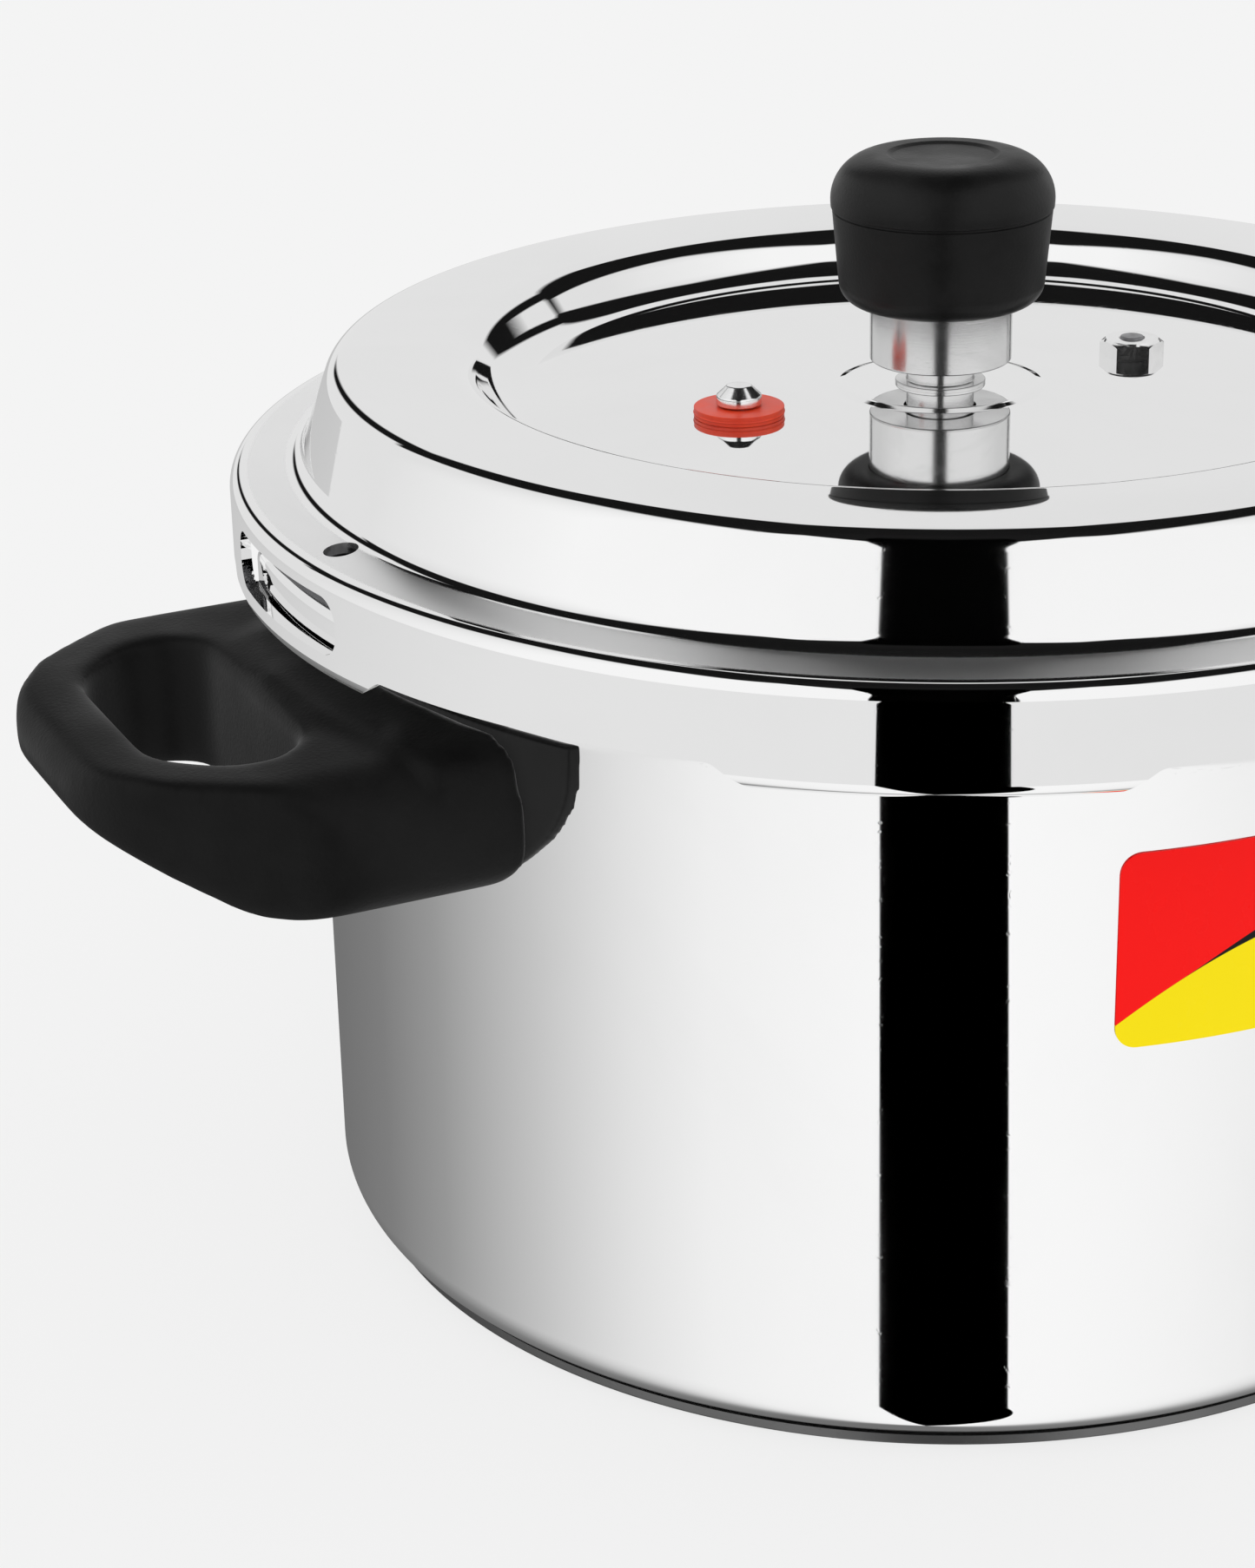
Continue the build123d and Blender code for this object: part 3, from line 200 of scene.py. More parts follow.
def polish(obj, outline, centre=(0.0, 0.0)):
    """Exact shading normals of a turned surface: each face follows the nearest run of its outline."""
    smooth_turn = cos(radians(25))
    much_longer = 2.5
    wrong_side = 50.0
    mesh = obj.data
    line = np.array(outline, float)
    line_next = np.roll(line, -1, axis=0)
    run = line_next - line
    length = np.hypot(run[:, 0], run[:, 1])
    keep = length > 1e-6
    line, line_next, run, length = line[keep], line_next[keep], run[keep], length[keep]
    normal = np.stack([run[:, 1], -run[:, 0]], 1) / length[:, None]
    area = 0.5 * np.sum(line[:, 0] * line_next[:, 1] - line_next[:, 0] * line[:, 1])
    normal = normal if area > 0 else -normal
    ends = []
    for near in (1, -1):
        other, other_length = np.roll(normal, near, axis=0), np.roll(length, near)
        mixed = normal + other
        mixed /= np.linalg.norm(mixed, axis=1)[:, None] + 1e-12
        smooth = np.sum(normal * other, axis=1) > smooth_turn
        end = np.where(smooth[:, None], mixed, normal)
        end = np.where((smooth & (length > much_longer * other_length))[:, None], normal, end)
        end = np.where((smooth & (other_length > much_longer * length))[:, None], other, end)
        ends.append(end)
    count = len(mesh.polygons)
    offset = [centre[0], centre[1], 0]
    co = read(mesh.vertices, "co", 3) / MM - offset
    middle = read(mesh.polygons, "center", 3) / MM - offset
    facing = read(mesh.polygons, "normal", 3)
    # the mean of a long face lies inside its circle, so its radius is the mean of its corners'
    totals = read(mesh.polygons, "loop_total", kind=int)
    corner = read(mesh.loops, "vertex_index", kind=int)
    owner = np.repeat(np.arange(count), totals)
    radius = np.hypot(co[:, 0], co[:, 1])
    mean_r = np.bincount(owner, radius[corner], count) / totals
    mean_z = np.bincount(owner, co[corner, 2], count) / totals
    along = (mean_r[:, None] - line[:, 0]) * run[:, 0] + (mean_z[:, None] - line[:, 1]) * run[:, 1]
    along = np.clip(along / length**2, 0, 1)
    gap = np.hypot(
        line[:, 0] + along * run[:, 0] - mean_r[:, None],
        line[:, 1] + along * run[:, 1] - mean_z[:, None],
    )
    spin = np.arctan2(middle[:, 1], middle[:, 0])
    side = np.stack([np.cos(spin), np.sin(spin)], 1)
    agree = np.sum(side * facing[:, :2], axis=1)
    fit = agree[:, None] * normal[:, 0] + facing[:, 2][:, None] * normal[:, 1]
    gap = gap + np.where(fit < 0.5, wrong_side, 0.0)
    best = np.argmin(gap, axis=1)
    turned = fit[np.arange(count), best] > 0.7
    seg = best[owner]
    t = ((radius[corner] - line[seg, 0]) * run[seg, 0] + (co[corner, 2] - line[seg, 1]) * run[seg, 1])
    t = np.clip(t / length[seg] ** 2, 0, 1)[:, None]
    flat = ends[0][seg] * (1 - t) + ends[1][seg] * t
    spin = np.arctan2(co[corner, 1], co[corner, 0])
    pole = radius[corner] < 1e-4
    spin = np.where(pole, np.arctan2(middle[owner, 1], middle[owner, 0]), spin)
    out = np.stack([flat[:, 0] * np.cos(spin), flat[:, 0] * np.sin(spin), flat[:, 1]], 1)
    out = np.where(turned[owner][:, None], out, facing[owner])
    out /= np.linalg.norm(out, axis=1)[:, None] + 1e-12
    mesh.shade_smooth()
    mesh.normals_split_custom_set(out.tolist())
    return obj


def prism(loop, near, far, turn):
    """Cutter: a closed loop of sideways and height, run along a radius at an azimuth."""
    c, s = cos(radians(turn)), sin(radians(turn))
    verts = [(x * c - y * s, x * s + y * c, z) for x in (near, far) for y, z in loop]
    n = len(loop)
    return verts, [tuple(range(n)), tuple(range(2 * n - 1, n - 1, -1))] + band(0, n, n)


def post(x, y, radius, bottom, top, segments=64):
    """Cutter: an upright round bar."""
    turns = [2 * pi * k / segments for k in range(segments)]
    ring = [(x + radius * cos(t), y + radius * sin(t)) for t in turns]
    verts = [(a, b, z) for z in (bottom, top) for a, b in ring]
    n = segments
    return verts, [tuple(range(n - 1, -1, -1)), tuple(range(n, 2 * n))] + band(0, n, n)


def cut(obj, cutters):
    """Takes all the cutters, which don't touch each other, out of an object."""
    verts, faces = [], []
    for more_verts, more_faces in cutters:
        faces += [tuple(i + len(verts) for i in f) for f in more_faces]
        verts += more_verts
    tool = piece("cutter", verts, faces, None, None)
    modifier = obj.modifiers.new("cut", "BOOLEAN")
    modifier.operation = "DIFFERENCE"
    modifier.solver = "EXACT"
    modifier.object = tool
    evaluated(obj)
    bpy.data.objects.remove(tool)
    return obj


def moulded(nodes, name, voxel, passes, swell, material, body, slot, collar=None):
    """A moulded copy of one or more CAD nodes: the same shape with every edge rounded over."""
    bm = bmesh.new()
    for node_name in nodes:
        bm.from_mesh(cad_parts[node_name].data)
    if collar:
        extra = bpy.data.meshes.new("collar")
        extra.from_pydata([(x * MM, y * MM, z * MM) for x, y, z in collar[0]], [], collar[1])
        bm.from_mesh(extra)
        bmesh.ops.recalc_face_normals(bm, faces=bm.faces)
    bmesh.ops.remove_doubles(bm, verts=bm.verts, dist=1e-6)
    mesh = bpy.data.meshes.new(name)
    bm.to_mesh(mesh)
    bm.free()
    obj = bpy.data.objects.new(name, mesh)
    bpy.context.scene.collection.objects.link(obj)
    remesh = obj.modifiers.new("skin", "REMESH")
    remesh.mode = "VOXEL"
    remesh.voxel_size = voxel * MM
    smooth = obj.modifiers.new("round", "SMOOTH")
    smooth.factor = 0.5
    smooth.iterations = passes
    fill = obj.modifiers.new("fill", "DISPLACE")
    fill.strength = swell * MM
    fill.mid_level = 0.0
    evaluated(obj)
    obj.data.shade_smooth()
    dress(obj, material, body)
    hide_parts(*nodes)
    return obj


# ------------------------------------------------------------------ copies by Geometry Nodes
def copies_tree():
    """Copies of a piece at each point, each turned a step further about the upright axis."""
    tree = bpy.data.node_groups.new("copies_at_points", "GeometryNodeTree")
    new = tree.interface.new_socket
    new("Places", in_out="INPUT", socket_type="NodeSocketGeometry")
    new("Piece", in_out="INPUT", socket_type="NodeSocketObject")
    new("Turn step", in_out="INPUT", socket_type="NodeSocketFloat")
    new("Finish", in_out="INPUT", socket_type="NodeSocketMaterial")
    new("Copies", in_out="OUTPUT", socket_type="NodeSocketGeometry")
    nodes, link = tree.nodes, tree.links.new
    source = nodes.new("NodeGroupInput")
    result = nodes.new("NodeGroupOutput")
    info = nodes.new("GeometryNodeObjectInfo")
    index = nodes.new("GeometryNodeInputIndex")
    turn = nodes.new("ShaderNodeMath")
    turn.operation = "MULTIPLY"
    spin = nodes.new("ShaderNodeCombineXYZ")
    place = nodes.new("GeometryNodeInstanceOnPoints")
    real = nodes.new("GeometryNodeRealizeInstances")
    paint = nodes.new("GeometryNodeSetMaterial")
    link(source.outputs["Piece"], info.inputs["Object"])
    link(index.outputs["Index"], turn.inputs[0])
    link(source.outputs["Turn step"], turn.inputs[1])
    link(turn.outputs[0], spin.inputs["Z"])
    link(source.outputs["Places"], place.inputs["Points"])
    link(info.outputs["Geometry"], place.inputs["Instance"])
    link(spin.outputs[0], place.inputs["Rotation"])
    link(place.outputs["Instances"], real.inputs["Geometry"])
    link(real.outputs["Geometry"], paint.inputs["Geometry"])
    link(source.outputs["Finish"], paint.inputs["Material"])
    link(paint.outputs["Geometry"], result.inputs["Copies"])
    return tree


def copies(name, part, places, step, material, body):
    mesh = bpy.data.meshes.new(name)
    mesh.from_pydata([(x * MM, y * MM, z * MM) for x, y, z in places], [], [])
    obj = bpy.data.objects.new(name, mesh)
    bpy.context.scene.collection.objects.link(obj)
    modifier = obj.modifiers.new("copies", "NODES")
    modifier.node_group = COPIES
    values = {"Piece": part, "Turn step": step, "Finish": material}
    for item in COPIES.interface.items_tree:
        if item.name in values:
            modifier[item.identifier] = values[item.name]
    evaluated(obj)
    bpy.data.objects.remove(part)
    soften(obj)
    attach(obj, body)
    return obj


COPIES = copies_tree()


# ------------------------------------------------------------------ finishes
def group(name, inputs, outputs):
    tree = bpy.data.node_groups.new(name, "ShaderNodeTree")
    for label, kind, value in inputs:
        socket = tree.interface.new_socket(label, in_out="INPUT", socket_type=kind)
        if value is not None:
            socket.default_value = value
    for label, kind in outputs:
        tree.interface.new_socket(label, in_out="OUTPUT", socket_type=kind)
    return tree, tree.nodes.new("NodeGroupInput"), tree.nodes.new("NodeGroupOutput")


def node(tree, kind, inputs=None, **settings):
    """A node with its settings, its plain values, and its links from other sockets."""
    made = tree.nodes.new(kind)
    for key, value in settings.items():
        setattr(made, key, value)
    for key, value in (inputs or {}).items():
        if isinstance(value, bpy.types.NodeSocket):
            tree.links.new(value, made.inputs[key])
        else:
            made.inputs[key].default_value = value
    return made


def math(tree, operation, a, b=0.0, c=0.0, clamp=False):
    inputs = {0: a, 1: b, 2: c}
    return node(tree, "ShaderNodeMath", inputs, operation=operation, use_clamp=clamp).outputs[0]


def within(tree, value, low, high):
    """A value's place between two limits, from 0 to 1."""
    limits = {"Value": value, "From Min": low, "From Max": high, "To Min": 0.0, "To Max": 1.0}
    return node(tree, "ShaderNodeMapRange", limits).outputs["Result"]


def axis_distance(tree, place):
    """Distance from the upright axis, and the place's parts."""
    part = node(tree, "ShaderNodeSeparateXYZ", {"Vector": place})
    x, y = part.outputs["X"], part.outputs["Y"]
    return math(tree, "SQRT", math(tree, "MULTIPLY_ADD", x, x, math(tree, "MULTIPLY", y, y))), part


def grain_group():
    """Fine moulded grain: a height for the bump and a mask for the sheen."""
    tree, source, result = group(
        "moulded_grain",
        [
            ("Vector", "NodeSocketVector", None),
            ("Grain size", "NodeSocketFloat", 1.0),
            ("Blotch size", "NodeSocketFloat", 1.0),
        ],
        [("Height", "NodeSocketFloat"), ("Mask", "NodeSocketFloat")],
    )
    place = source.outputs["Vector"]
    grain, blotch = source.outputs["Grain size"], source.outputs["Blotch size"]
    fine = node(
        tree, "ShaderNodeTexNoise", {"Vector": place, "Scale": grain, "Detail": 3.0, "Roughness": 0.65}
    )
    pits = node(
        tree, "ShaderNodeTexVoronoi", {"Vector": place, "Scale": grain, "Randomness": 1.0}, feature="F1"
    )
    broad = node(
        tree, "ShaderNodeTexNoise", {"Vector": place, "Scale": blotch, "Detail": 4.0, "Roughness": 0.55}
    )
    height = math(tree, "MULTIPLY_ADD", pits.outputs["Distance"], 0.45, fine.outputs["Fac"])
    tree.links.new(height, result.inputs["Height"])
    tree.links.new(within(tree, broad.outputs["Fac"], 0.32, 0.68), result.inputs["Mask"])
    return tree


def handling_group():
    """Marks of use on metal: soft smudges, and hairline scratches in two directions."""
    tree, source, result = group(
        "handling_marks",
        [
            ("Vector", "NodeSocketVector", None),
            ("Smudge size", "NodeSocketFloat", 1.0),
            ("Scratch size", "NodeSocketFloat", 1.0),
        ],
        [("Smudge", "NodeSocketFloat"), ("Scratch", "NodeSocketFloat")],
    )
    place = source.outputs["Vector"]
    cloud = {"Vector": place, "Detail": 5.0, "Roughness": 0.6, "Distortion": 0.6}
    smudge = node(tree, "ShaderNodeTexNoise", {**cloud, "Scale": source.outputs["Smudge size"]})
    tree.links.new(within(tree, smudge.outputs["Fac"], 0.45, 0.75), result.inputs["Smudge"])
    total = None
    for stretch, turn in (((1.0, 40.0, 40.0), (0.3, 0.5, 0.9)), ((40.0, 1.0, 35.0), (0.8, 0.2, -0.6))):
        lay = node(tree, "ShaderNodeMapping", {"Vector": place, "Rotation": turn, "Scale": stretch})
        strands = {"Vector": lay.outputs[0], "Scale": source.outputs["Scratch size"], "Detail": 1.0}
        hair = node(tree, "ShaderNodeTexNoise", strands)
        line = within(tree, hair.outputs["Fac"], 0.66, 0.74)
        total = line if total is None else math(tree, "MAXIMUM", total, line)
    tree.links.new(total, result.inputs["Scratch"])
    return tree


GRAIN = grain_group()
HANDLING = handling_group()


def material(name, color, metallic, roughness, **sockets):
    """A material with its Principled shader; the caller adds the surface detail."""
    made = bpy.data.materials.new(name)
    made.use_nodes = True
    tree = made.node_tree
    shader = tree.nodes["Principled BSDF"]
    shader.inputs["Base Color"].default_value = (*color, 1)
    shader.inputs["Metallic"].default_value = metallic
    shader.inputs["Roughness"].default_value = roughness
    for key, value in sockets.items():
        shader.inputs[key.replace("_", " ")].default_value = value
    place = node(tree, "ShaderNodeTexCoord").outputs["Object"]
    return made, tree, shader, place


def bump(tree, shader, height, strength, distance):
    relief = {"Height": height, "Strength": strength, "Distance": distance * MM}
    lift = node(tree, "ShaderNodeBump", relief)
    tree.links.new(lift.outputs["Normal"], shader.inputs["Normal"])


def vary(tree, socket, mask, low, high):
    spread = node(tree, "ShaderNodeMapRange", {"Value": mask, "To Min": low, "To Max": high})
    tree.links.new(spread.outputs["Result"], socket)


def tint(tree, shader, mask, low, high):
    mix = node(tree, "ShaderNodeMix", {"Factor": mask}, data_type="RGBA")
    colors = [s for s in mix.inputs if s.type == "RGBA"]
    colors[0].default_value = (*low, 1)
    colors[1].default_value = (*high, 1)
    color = [s for s in mix.outputs if s.type == "RGBA"][0]
    tree.links.new(color, shader.inputs["Base Color"])


def metal(name, bright, dull, smooth, rough, smudge, scratch, depth, turned=None):
    """Metal with handling marks, and turning rings where it was machined."""
    made, tree, shader, place = material(name, bright, 1.0, smooth)
    inputs = {"Vector": place, "Smudge size": smudge, "Scratch size": scratch}
    marks = node(tree, "ShaderNodeGroup", inputs, node_tree=HANDLING)
    tint(tree, shader, marks.outputs["Smudge"], bright, dull)
    height = math(tree, "MULTIPLY", marks.outputs["Scratch"], -1.0)
    mask = math(
        tree, "MULTIPLY_ADD", marks.outputs["Scratch"], 0.5, marks.outputs["Smudge"], clamp=True
    )
    if turned:
        axis, scale, share = turned
        radius, part = axis_distance(tree, place)
        run = radius if axis == "rings" else part.outputs["Z"]
        turning = {"W": run, "Scale": scale, "Detail": 4.0}
        rings = node(tree, "ShaderNodeTexNoise", turning, noise_dimensions="1D")
        height = math(tree, "MULTIPLY_ADD", rings.outputs["Fac"], share, height)
        mask = math(tree, "MULTIPLY_ADD", rings.outputs["Fac"], 0.4, mask, clamp=True)
    vary(tree, shader.inputs["Roughness"], mask, smooth, rough)
    bump(tree, shader, height, 0.5, depth)
    return made


def grained(tree, shader, place, grain, blotch, smooth, rough, strength, depth):
    """Fine grain in the surface, and uneven sheen; returns the sheen's mask."""
    inputs = {"Vector": place, "Grain size": grain, "Blotch size": blotch}
    marks = node(tree, "ShaderNodeGroup", inputs, node_tree=GRAIN)
    vary(tree, shader.inputs["Roughness"], marks.outputs["Mask"], smooth, rough)
    bump(tree, shader, marks.outputs["Height"], strength, depth)
    return marks.outputs["Mask"]


def moulding(name, low, high, smooth, rough, grain, blotch, depth, strength=0.6, **sockets):
    """Moulded plastic or rubber with a fine grain and uneven sheen."""
    made, tree, shader, place = material(name, low, 0.0, smooth, **sockets)
    mask = grained(tree, shader, place, grain, blotch, smooth, rough, strength, depth)
    tint(tree, shader, mask, low, high)
    return made


def grey(shade):
    return (shade, shade, shade)


def satin_ledge(made):
    """The lid's flat ledge is duller than the rest of the pressing."""
    mid_radius, half_width = 0.1168, 0.0037
    mid_height, half_height = 0.1387, 0.0016
    added_roughness = 0.26
    tree = made.node_tree
    shader = tree.nodes["Principled BSDF"]
    radius, part = axis_distance(tree, node(tree, "ShaderNodeTexCoord").outputs["Object"])
    across = math(tree, "ABSOLUTE", math(tree, "SUBTRACT", radius, mid_radius))
    upward = math(tree, "ABSOLUTE", math(tree, "SUBTRACT", part.outputs["Z"], mid_height))
    wide = math(tree, "SUBTRACT", half_width, across)
    flat = math(tree, "SUBTRACT", half_height, upward)
    mask = math(tree, "MULTIPLY", wide, 2000.0, clamp=True)
    mask = math(tree, "MULTIPLY", mask, math(tree, "MULTIPLY", flat, 4000.0, clamp=True))
    base = shader.inputs["Roughness"].links[0].from_socket
    duller = math(tree, "MULTIPLY_ADD", mask, added_roughness, base)
    tree.links.new(duller, shader.inputs["Roughness"])


# bright and dull colour, roughness from and to, smudge and scratch scale, scratch depth in mm
pressed = (grey(0.93), grey(0.90), 0.02, 0.05, 12.0, 30.0, 0.001)
mirror_steel = metal("mirror_steel", *pressed)
lid_steel = metal("lid_steel", *pressed)
satin_ledge(lid_steel)
# the base disc's spun steel gets a very dark colour, which is painted shade for the shadow under the
# pot; its turning rings and handling marks are real
spun_steel_painted_shade = metal(
    "spun_base_steel_painted_shade", grey(0.16), grey(0.11), 0.30, 0.42, 25.0, 40.0, 0.02, ("rings", 2600.0, 1.0)
)
turned_steel = metal(
    "turned_steel", grey(0.74), grey(0.64), 0.16, 0.26, 60.0, 90.0, 0.006, ("rows", 5200.0, 1.0)
)
plated_steel = metal(
    "plated_steel", (0.62, 0.62, 0.61), (0.48, 0.48, 0.47), 0.24, 0.40, 90.0, 120.0, 0.006
)
core_metal = metal(
    "core_aluminium", (0.66, 0.66, 0.67), (0.52, 0.52, 0.53), 0.30, 0.45, 70.0, 90.0, 0.006
)
bright_aluminium = metal(
    "bright_aluminium", grey(0.90), grey(0.80), 0.10, 0.22, 120.0, 200.0, 0.004, ("rows", 7000.0, 0.6)
)
cast_alloy = metal(
    "fusible_alloy", (0.34, 0.34, 0.35), (0.26, 0.26, 0.27), 0.40, 0.60, 300.0, 200.0, 0.01
)

# low and high colour, roughness from and to, grain and blotch scale, grain depth in mm
phenolic = moulding(
    "black_phenolic",
    grey(0.003),
    grey(0.009),
    0.40,
    0.54,
    1300.0,
    45.0,
    0.07,
    Specular_IOR_Level=0.11,
)
knob_phenolic = moulding(
    "knob_phenolic", grey(0.004), grey(0.010), 0.36, 0.50, 1700.0, 90.0, 0.05, Specular_IOR_Level=0.20
)
plate_paint = moulding(
    "black_plate_paint",
    grey(0.005),
    grey(0.010),
    0.30,
    0.44,
    900.0,
    60.0,
    0.01,
    Specular_IOR_Level=0.2,
)
rubber = moulding(
    "gasket_rubber", (0.10, 0.10, 0.105), (0.16, 0.16, 0.165), 0.55, 0.75, 800.0, 150.0, 0.05
)
silicone = moulding(
    "red_silicone", (0.72, 0.035, 0.008), (0.82, 0.060, 0.014), 0.34, 0.48, 900.0, 250.0, 0.02
)


def label_print():
    """Two flat inks divided by a sweeping curve, under a clear film with a slight ripple."""
    red, yellow_ink, dark_ink = (1.0, 0.006, 0.005), (1.0, 0.80, 0.003), (0.008, 0.007, 0.007)
    crest_x, crest_height, crest_fall = 8.0, 0.55, -0.000308
    sweep_start, sweep_width, crisp = -20.0, 0.09, 300.0
    made, tree, shader, place = material("label_print", red, 0.0, 0.25, Specular_IOR_Level=0.12)
    part = node(tree, "ShaderNodeSeparateXYZ", {"Vector": place})
    across = math(tree, "MULTIPLY", part.outputs["X"], 1000.0)
    up = math(
        tree, "MULTIPLY_ADD", part.outputs["Z"], 1000.0 / LABEL_HEIGHT, -LABEL_BOTTOM / LABEL_HEIGHT
    )
    from_crest = math(tree, "SUBTRACT", across, crest_x)
    fall = math(tree, "MULTIPLY", math(tree, "MULTIPLY", from_crest, from_crest), crest_fall)
    edge = math(tree, "ADD", fall, crest_height)
    yellow = math(tree, "MULTIPLY", math(tree, "SUBTRACT", edge, up), crisp, clamp=True)
    widening = {"Value": across, "From Min": sweep_start, "From Max": crest_x}
    widening.update({"To Min": 0.0, "To Max": sweep_width})
    swell = node(tree, "ShaderNodeMapRange", widening, interpolation_type="SMOOTHSTEP")
    sweep_edge = math(tree, "ADD", edge, swell.outputs["Result"])
    dark = math(tree, "MULTIPLY", math(tree, "SUBTRACT", sweep_edge, up), crisp, clamp=True)
    inks = None
    for mask, below in ((dark, dark_ink), (yellow, yellow_ink)):
        mix = node(tree, "ShaderNodeMix", {}, data_type="RGBA")
        colors = [s for s in mix.inputs if s.type == "RGBA"]
        colors[1].default_value = (*below, 1)
        if inks is None:
            colors[0].default_value = (*red, 1)
        else:
            tree.links.new(inks, colors[0])
        tree.links.new(mask, mix.inputs[0])
        inks = [s for s in mix.outputs if s.type == "RGBA"][0]
    tree.links.new(inks, shader.inputs["Base Color"])
    grained(tree, shader, place, 260.0, 60.0, 0.18, 0.30, 0.3, 0.01)
    return made


label_ink = label_print()


# ------------------------------------------------------------------ pot
pot_line = [
    (0.0, 4.2),
    (96.0, 4.2),
    (98.2, 2.0),
    (POT_RADIUS, 2.0),
    (POT_RADIUS, RIM_HEIGHT - 2.0),
    (116.9, RIM_HEIGHT - 2.0),
]
pot_outline = sheet(pot_line, [1.0, 2.5, 8.0, 2.0], -2.0)
pot = lathe("pot_shell", pot_outline, mirror_steel, "pot", segments=256)
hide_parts("pot_body")

lug_outline = sheet([(114.9, RIM_HEIGHT), (120.6, RIM_HEIGHT), (120.6, 122.8)], [2.6], 2.0)


def sector(name, outline, half_angle, steps=14):
    """One lug: a closed outline swept a short way about the axis, with closed ends."""
    verts = []
    n = len(outline)
    for k in range(steps + 1):
        t = radians(half_angle * (2 * k / steps - 1))
        verts += [(r * cos(t), r * sin(t), z) for r, z in outline]
    faces = [tuple(range(n)), tuple(range(steps * n, (steps + 1) * n))]
    for k in range(steps):
        faces += band(k * n, (k + 1) * n, n)
    return piece(name, verts, faces, None, None)


lug = sector("lug_pattern", lug_outline, LUG_HALF_ANGLE)
on_axis = [(0, 0, 0)] * LUG_COUNT
lug_pitch = 2 * pi / LUG_COUNT
lugs = copies("pot_lugs", lug, on_axis, lug_pitch, mirror_steel, "pot")
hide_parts("pot_rim")

base_outline = bend([(0.0, 0.0), (105.3, 0.0), (105.3, 2.0)], [0.7])
base_outline += [(104.4, 2.0), (104.4, 0.8), (0.0, 0.8)]
# the base disc's dark colour is painted shade under the pot
base = lathe("base_disc", base_outline, spun_steel_painted_shade, "pot", segments=256)
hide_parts("base_cap")


def label_patch():
    """Thin curved label on the front of the pot, with round corners."""
    half, bottom, height, corner = 29.4, LABEL_BOTTOM, LABEL_HEIGHT, 3.5
    foot = [corner * (1 - cos(radians(a))) for a in range(0, 91, 10)]
    middle = [corner + (height - 2 * corner) * k / 6 for k in range(1, 6)]
    heights = foot + middle + [height - h for h in foot[::-1]]
    columns = 48
    verts, faces = [], []
    for radius in (POT_RADIUS + 0.27, POT_RADIUS + 0.02):
        for h in heights:
            inset = min(h, height - h)
            pull = corner - sqrt(max(0.0, corner**2 - (corner - inset) ** 2)) if inset < corner else 0.0
            for c in range(columns + 1):
                t = (half - pull) * (2 * c / columns - 1) / POT_RADIUS - pi / 2
                verts.append((radius * cos(t), radius * sin(t), bottom + h))
    rows, wide = len(heights), columns + 1
    for layer in range(2):
        start = layer * rows * wide
        for r in range(rows - 1):
            for c in range(columns):
                a = start + r * wide + c
                faces.append((a, a + 1, a + wide + 1, a + wide))
    rim = list(range(wide)) + [r * wide + columns for r in range(1, rows)]
    rim += [(rows - 1) * wide + c for c in range(columns - 1, -1, -1)]
    rim += [r * wide for r in range(rows - 2, 0, -1)]
    for a, b in zip(rim, rim[1:] + rim[:1]):
        faces.append((a, b, b + rows * wide, a + rows * wide))
    return piece("label_film", verts, faces, label_ink, "pot")


label = soften(label_patch(), 40.0)
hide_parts("front_label")

# ------------------------------------------------------------------ lid
lid_line = [
    (0.0, PAD_HEIGHT),
    (16.6, PAD_HEIGHT),
    (18.2, DISH_FLOOR),
    (75.871, DISH_FLOOR),
    (82.5, 155.5),
    (93.85, 156.1),
    (105.2, 155.5),
    (111.0, 139.6),
    (SKIRT_RADIUS, 138.0),
    (SKIRT_RADIUS, TAB_BOTTOM),
    (117.8, TAB_BOTTOM),
]
lid_outline = sheet(lid_line, [2.5, 2.5, 8.0, 8.0, 110.0, 4.5, 3.5, 2.7, 2.5], LID_WALL)
lid = lathe(
    "lid_pressing", lid_outline, lid_steel, "lid", segments=288, polished=False
)

gap_foot = SKIRT_RADIUS * sin(radians(30 - 12.6))
gap_head = SKIRT_RADIUS * sin(radians(30 - 15.5))
gap_wing = gap_foot + 7.0
graze = TAB_BOTTOM - 0.1
gap_line = bend(
    [
        (-gap_wing, graze),
        (-gap_foot, graze),
        (-gap_head, SKIRT_BOTTOM),
        (gap_head, SKIRT_BOTTOM),
        (gap_foot, graze),
        (gap_wing, graze),
    ],
    [4.0, 3.0, 3.0, 4.0],
)
gap_line += [(gap_wing, graze - 5), (-gap_wing, graze - 5)]
slot_line = bend(
    [(0, 125.0), (22, 125.0), (22, 134.8), (-22, 134.8), (-22, 125.0), (0, 125.0)], [4.2] * 4, 7.5
)[:-1]
cutters = [prism(gap_line, 128.2, 94.2, 30 + 60 * k) for k in range(LUG_COUNT)]
cutters += [
    prism(slot_line, 128.2, 109.2, 180),
    post(-115.16, -10.08, 2.85, 130, 150),
    post(0, 0, 5.2, 140, 152),
    post(PITCH, 0, 4.2, 140, 152),
    post(-PITCH, 0, 4.7, 140, 152),
]
cut(lid, cutters)
polish(lid, lid_outline)
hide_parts("lid_shell")

gasket_line = [
    (111.5, 131.7),
    (120.8, 131.7),
    (120.8, 134.8),
    (120.0, 135.6),
    (111.5, 136.7),
    (111.5, 135.3),
    (115.5, 133.8),
    (111.5, 133.1),
]
gasket_outline = rounded(gasket_line, [0.4] * 8, 20.0)
gasket = lathe("gasket_ring", gasket_outline, rubber, "lid", segments=224)
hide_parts("gasket")

# ------------------------------------------------------------------ fittings on the floor of the lid
vent_line = [
    (1.5, 136.3),
    (4.9, 136.3),
    (4.9, PAD_HEIGHT - 0.05),
    (7.8, PAD_HEIGHT - 0.05),
    (7.8, 148.7),
    (5.85, 148.7),
    (5.85, 168.1),
    (1.5, 168.1),
]
vent_outline = rounded(vent_line, [0.2, 0.1, 0.1, 0.25, 0.3, 0.9, 0.3, 0.2], 20.0)
vent = lathe("vent_stem", vent_outline, turned_steel, "lid", segments=96)
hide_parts("vent_tube")


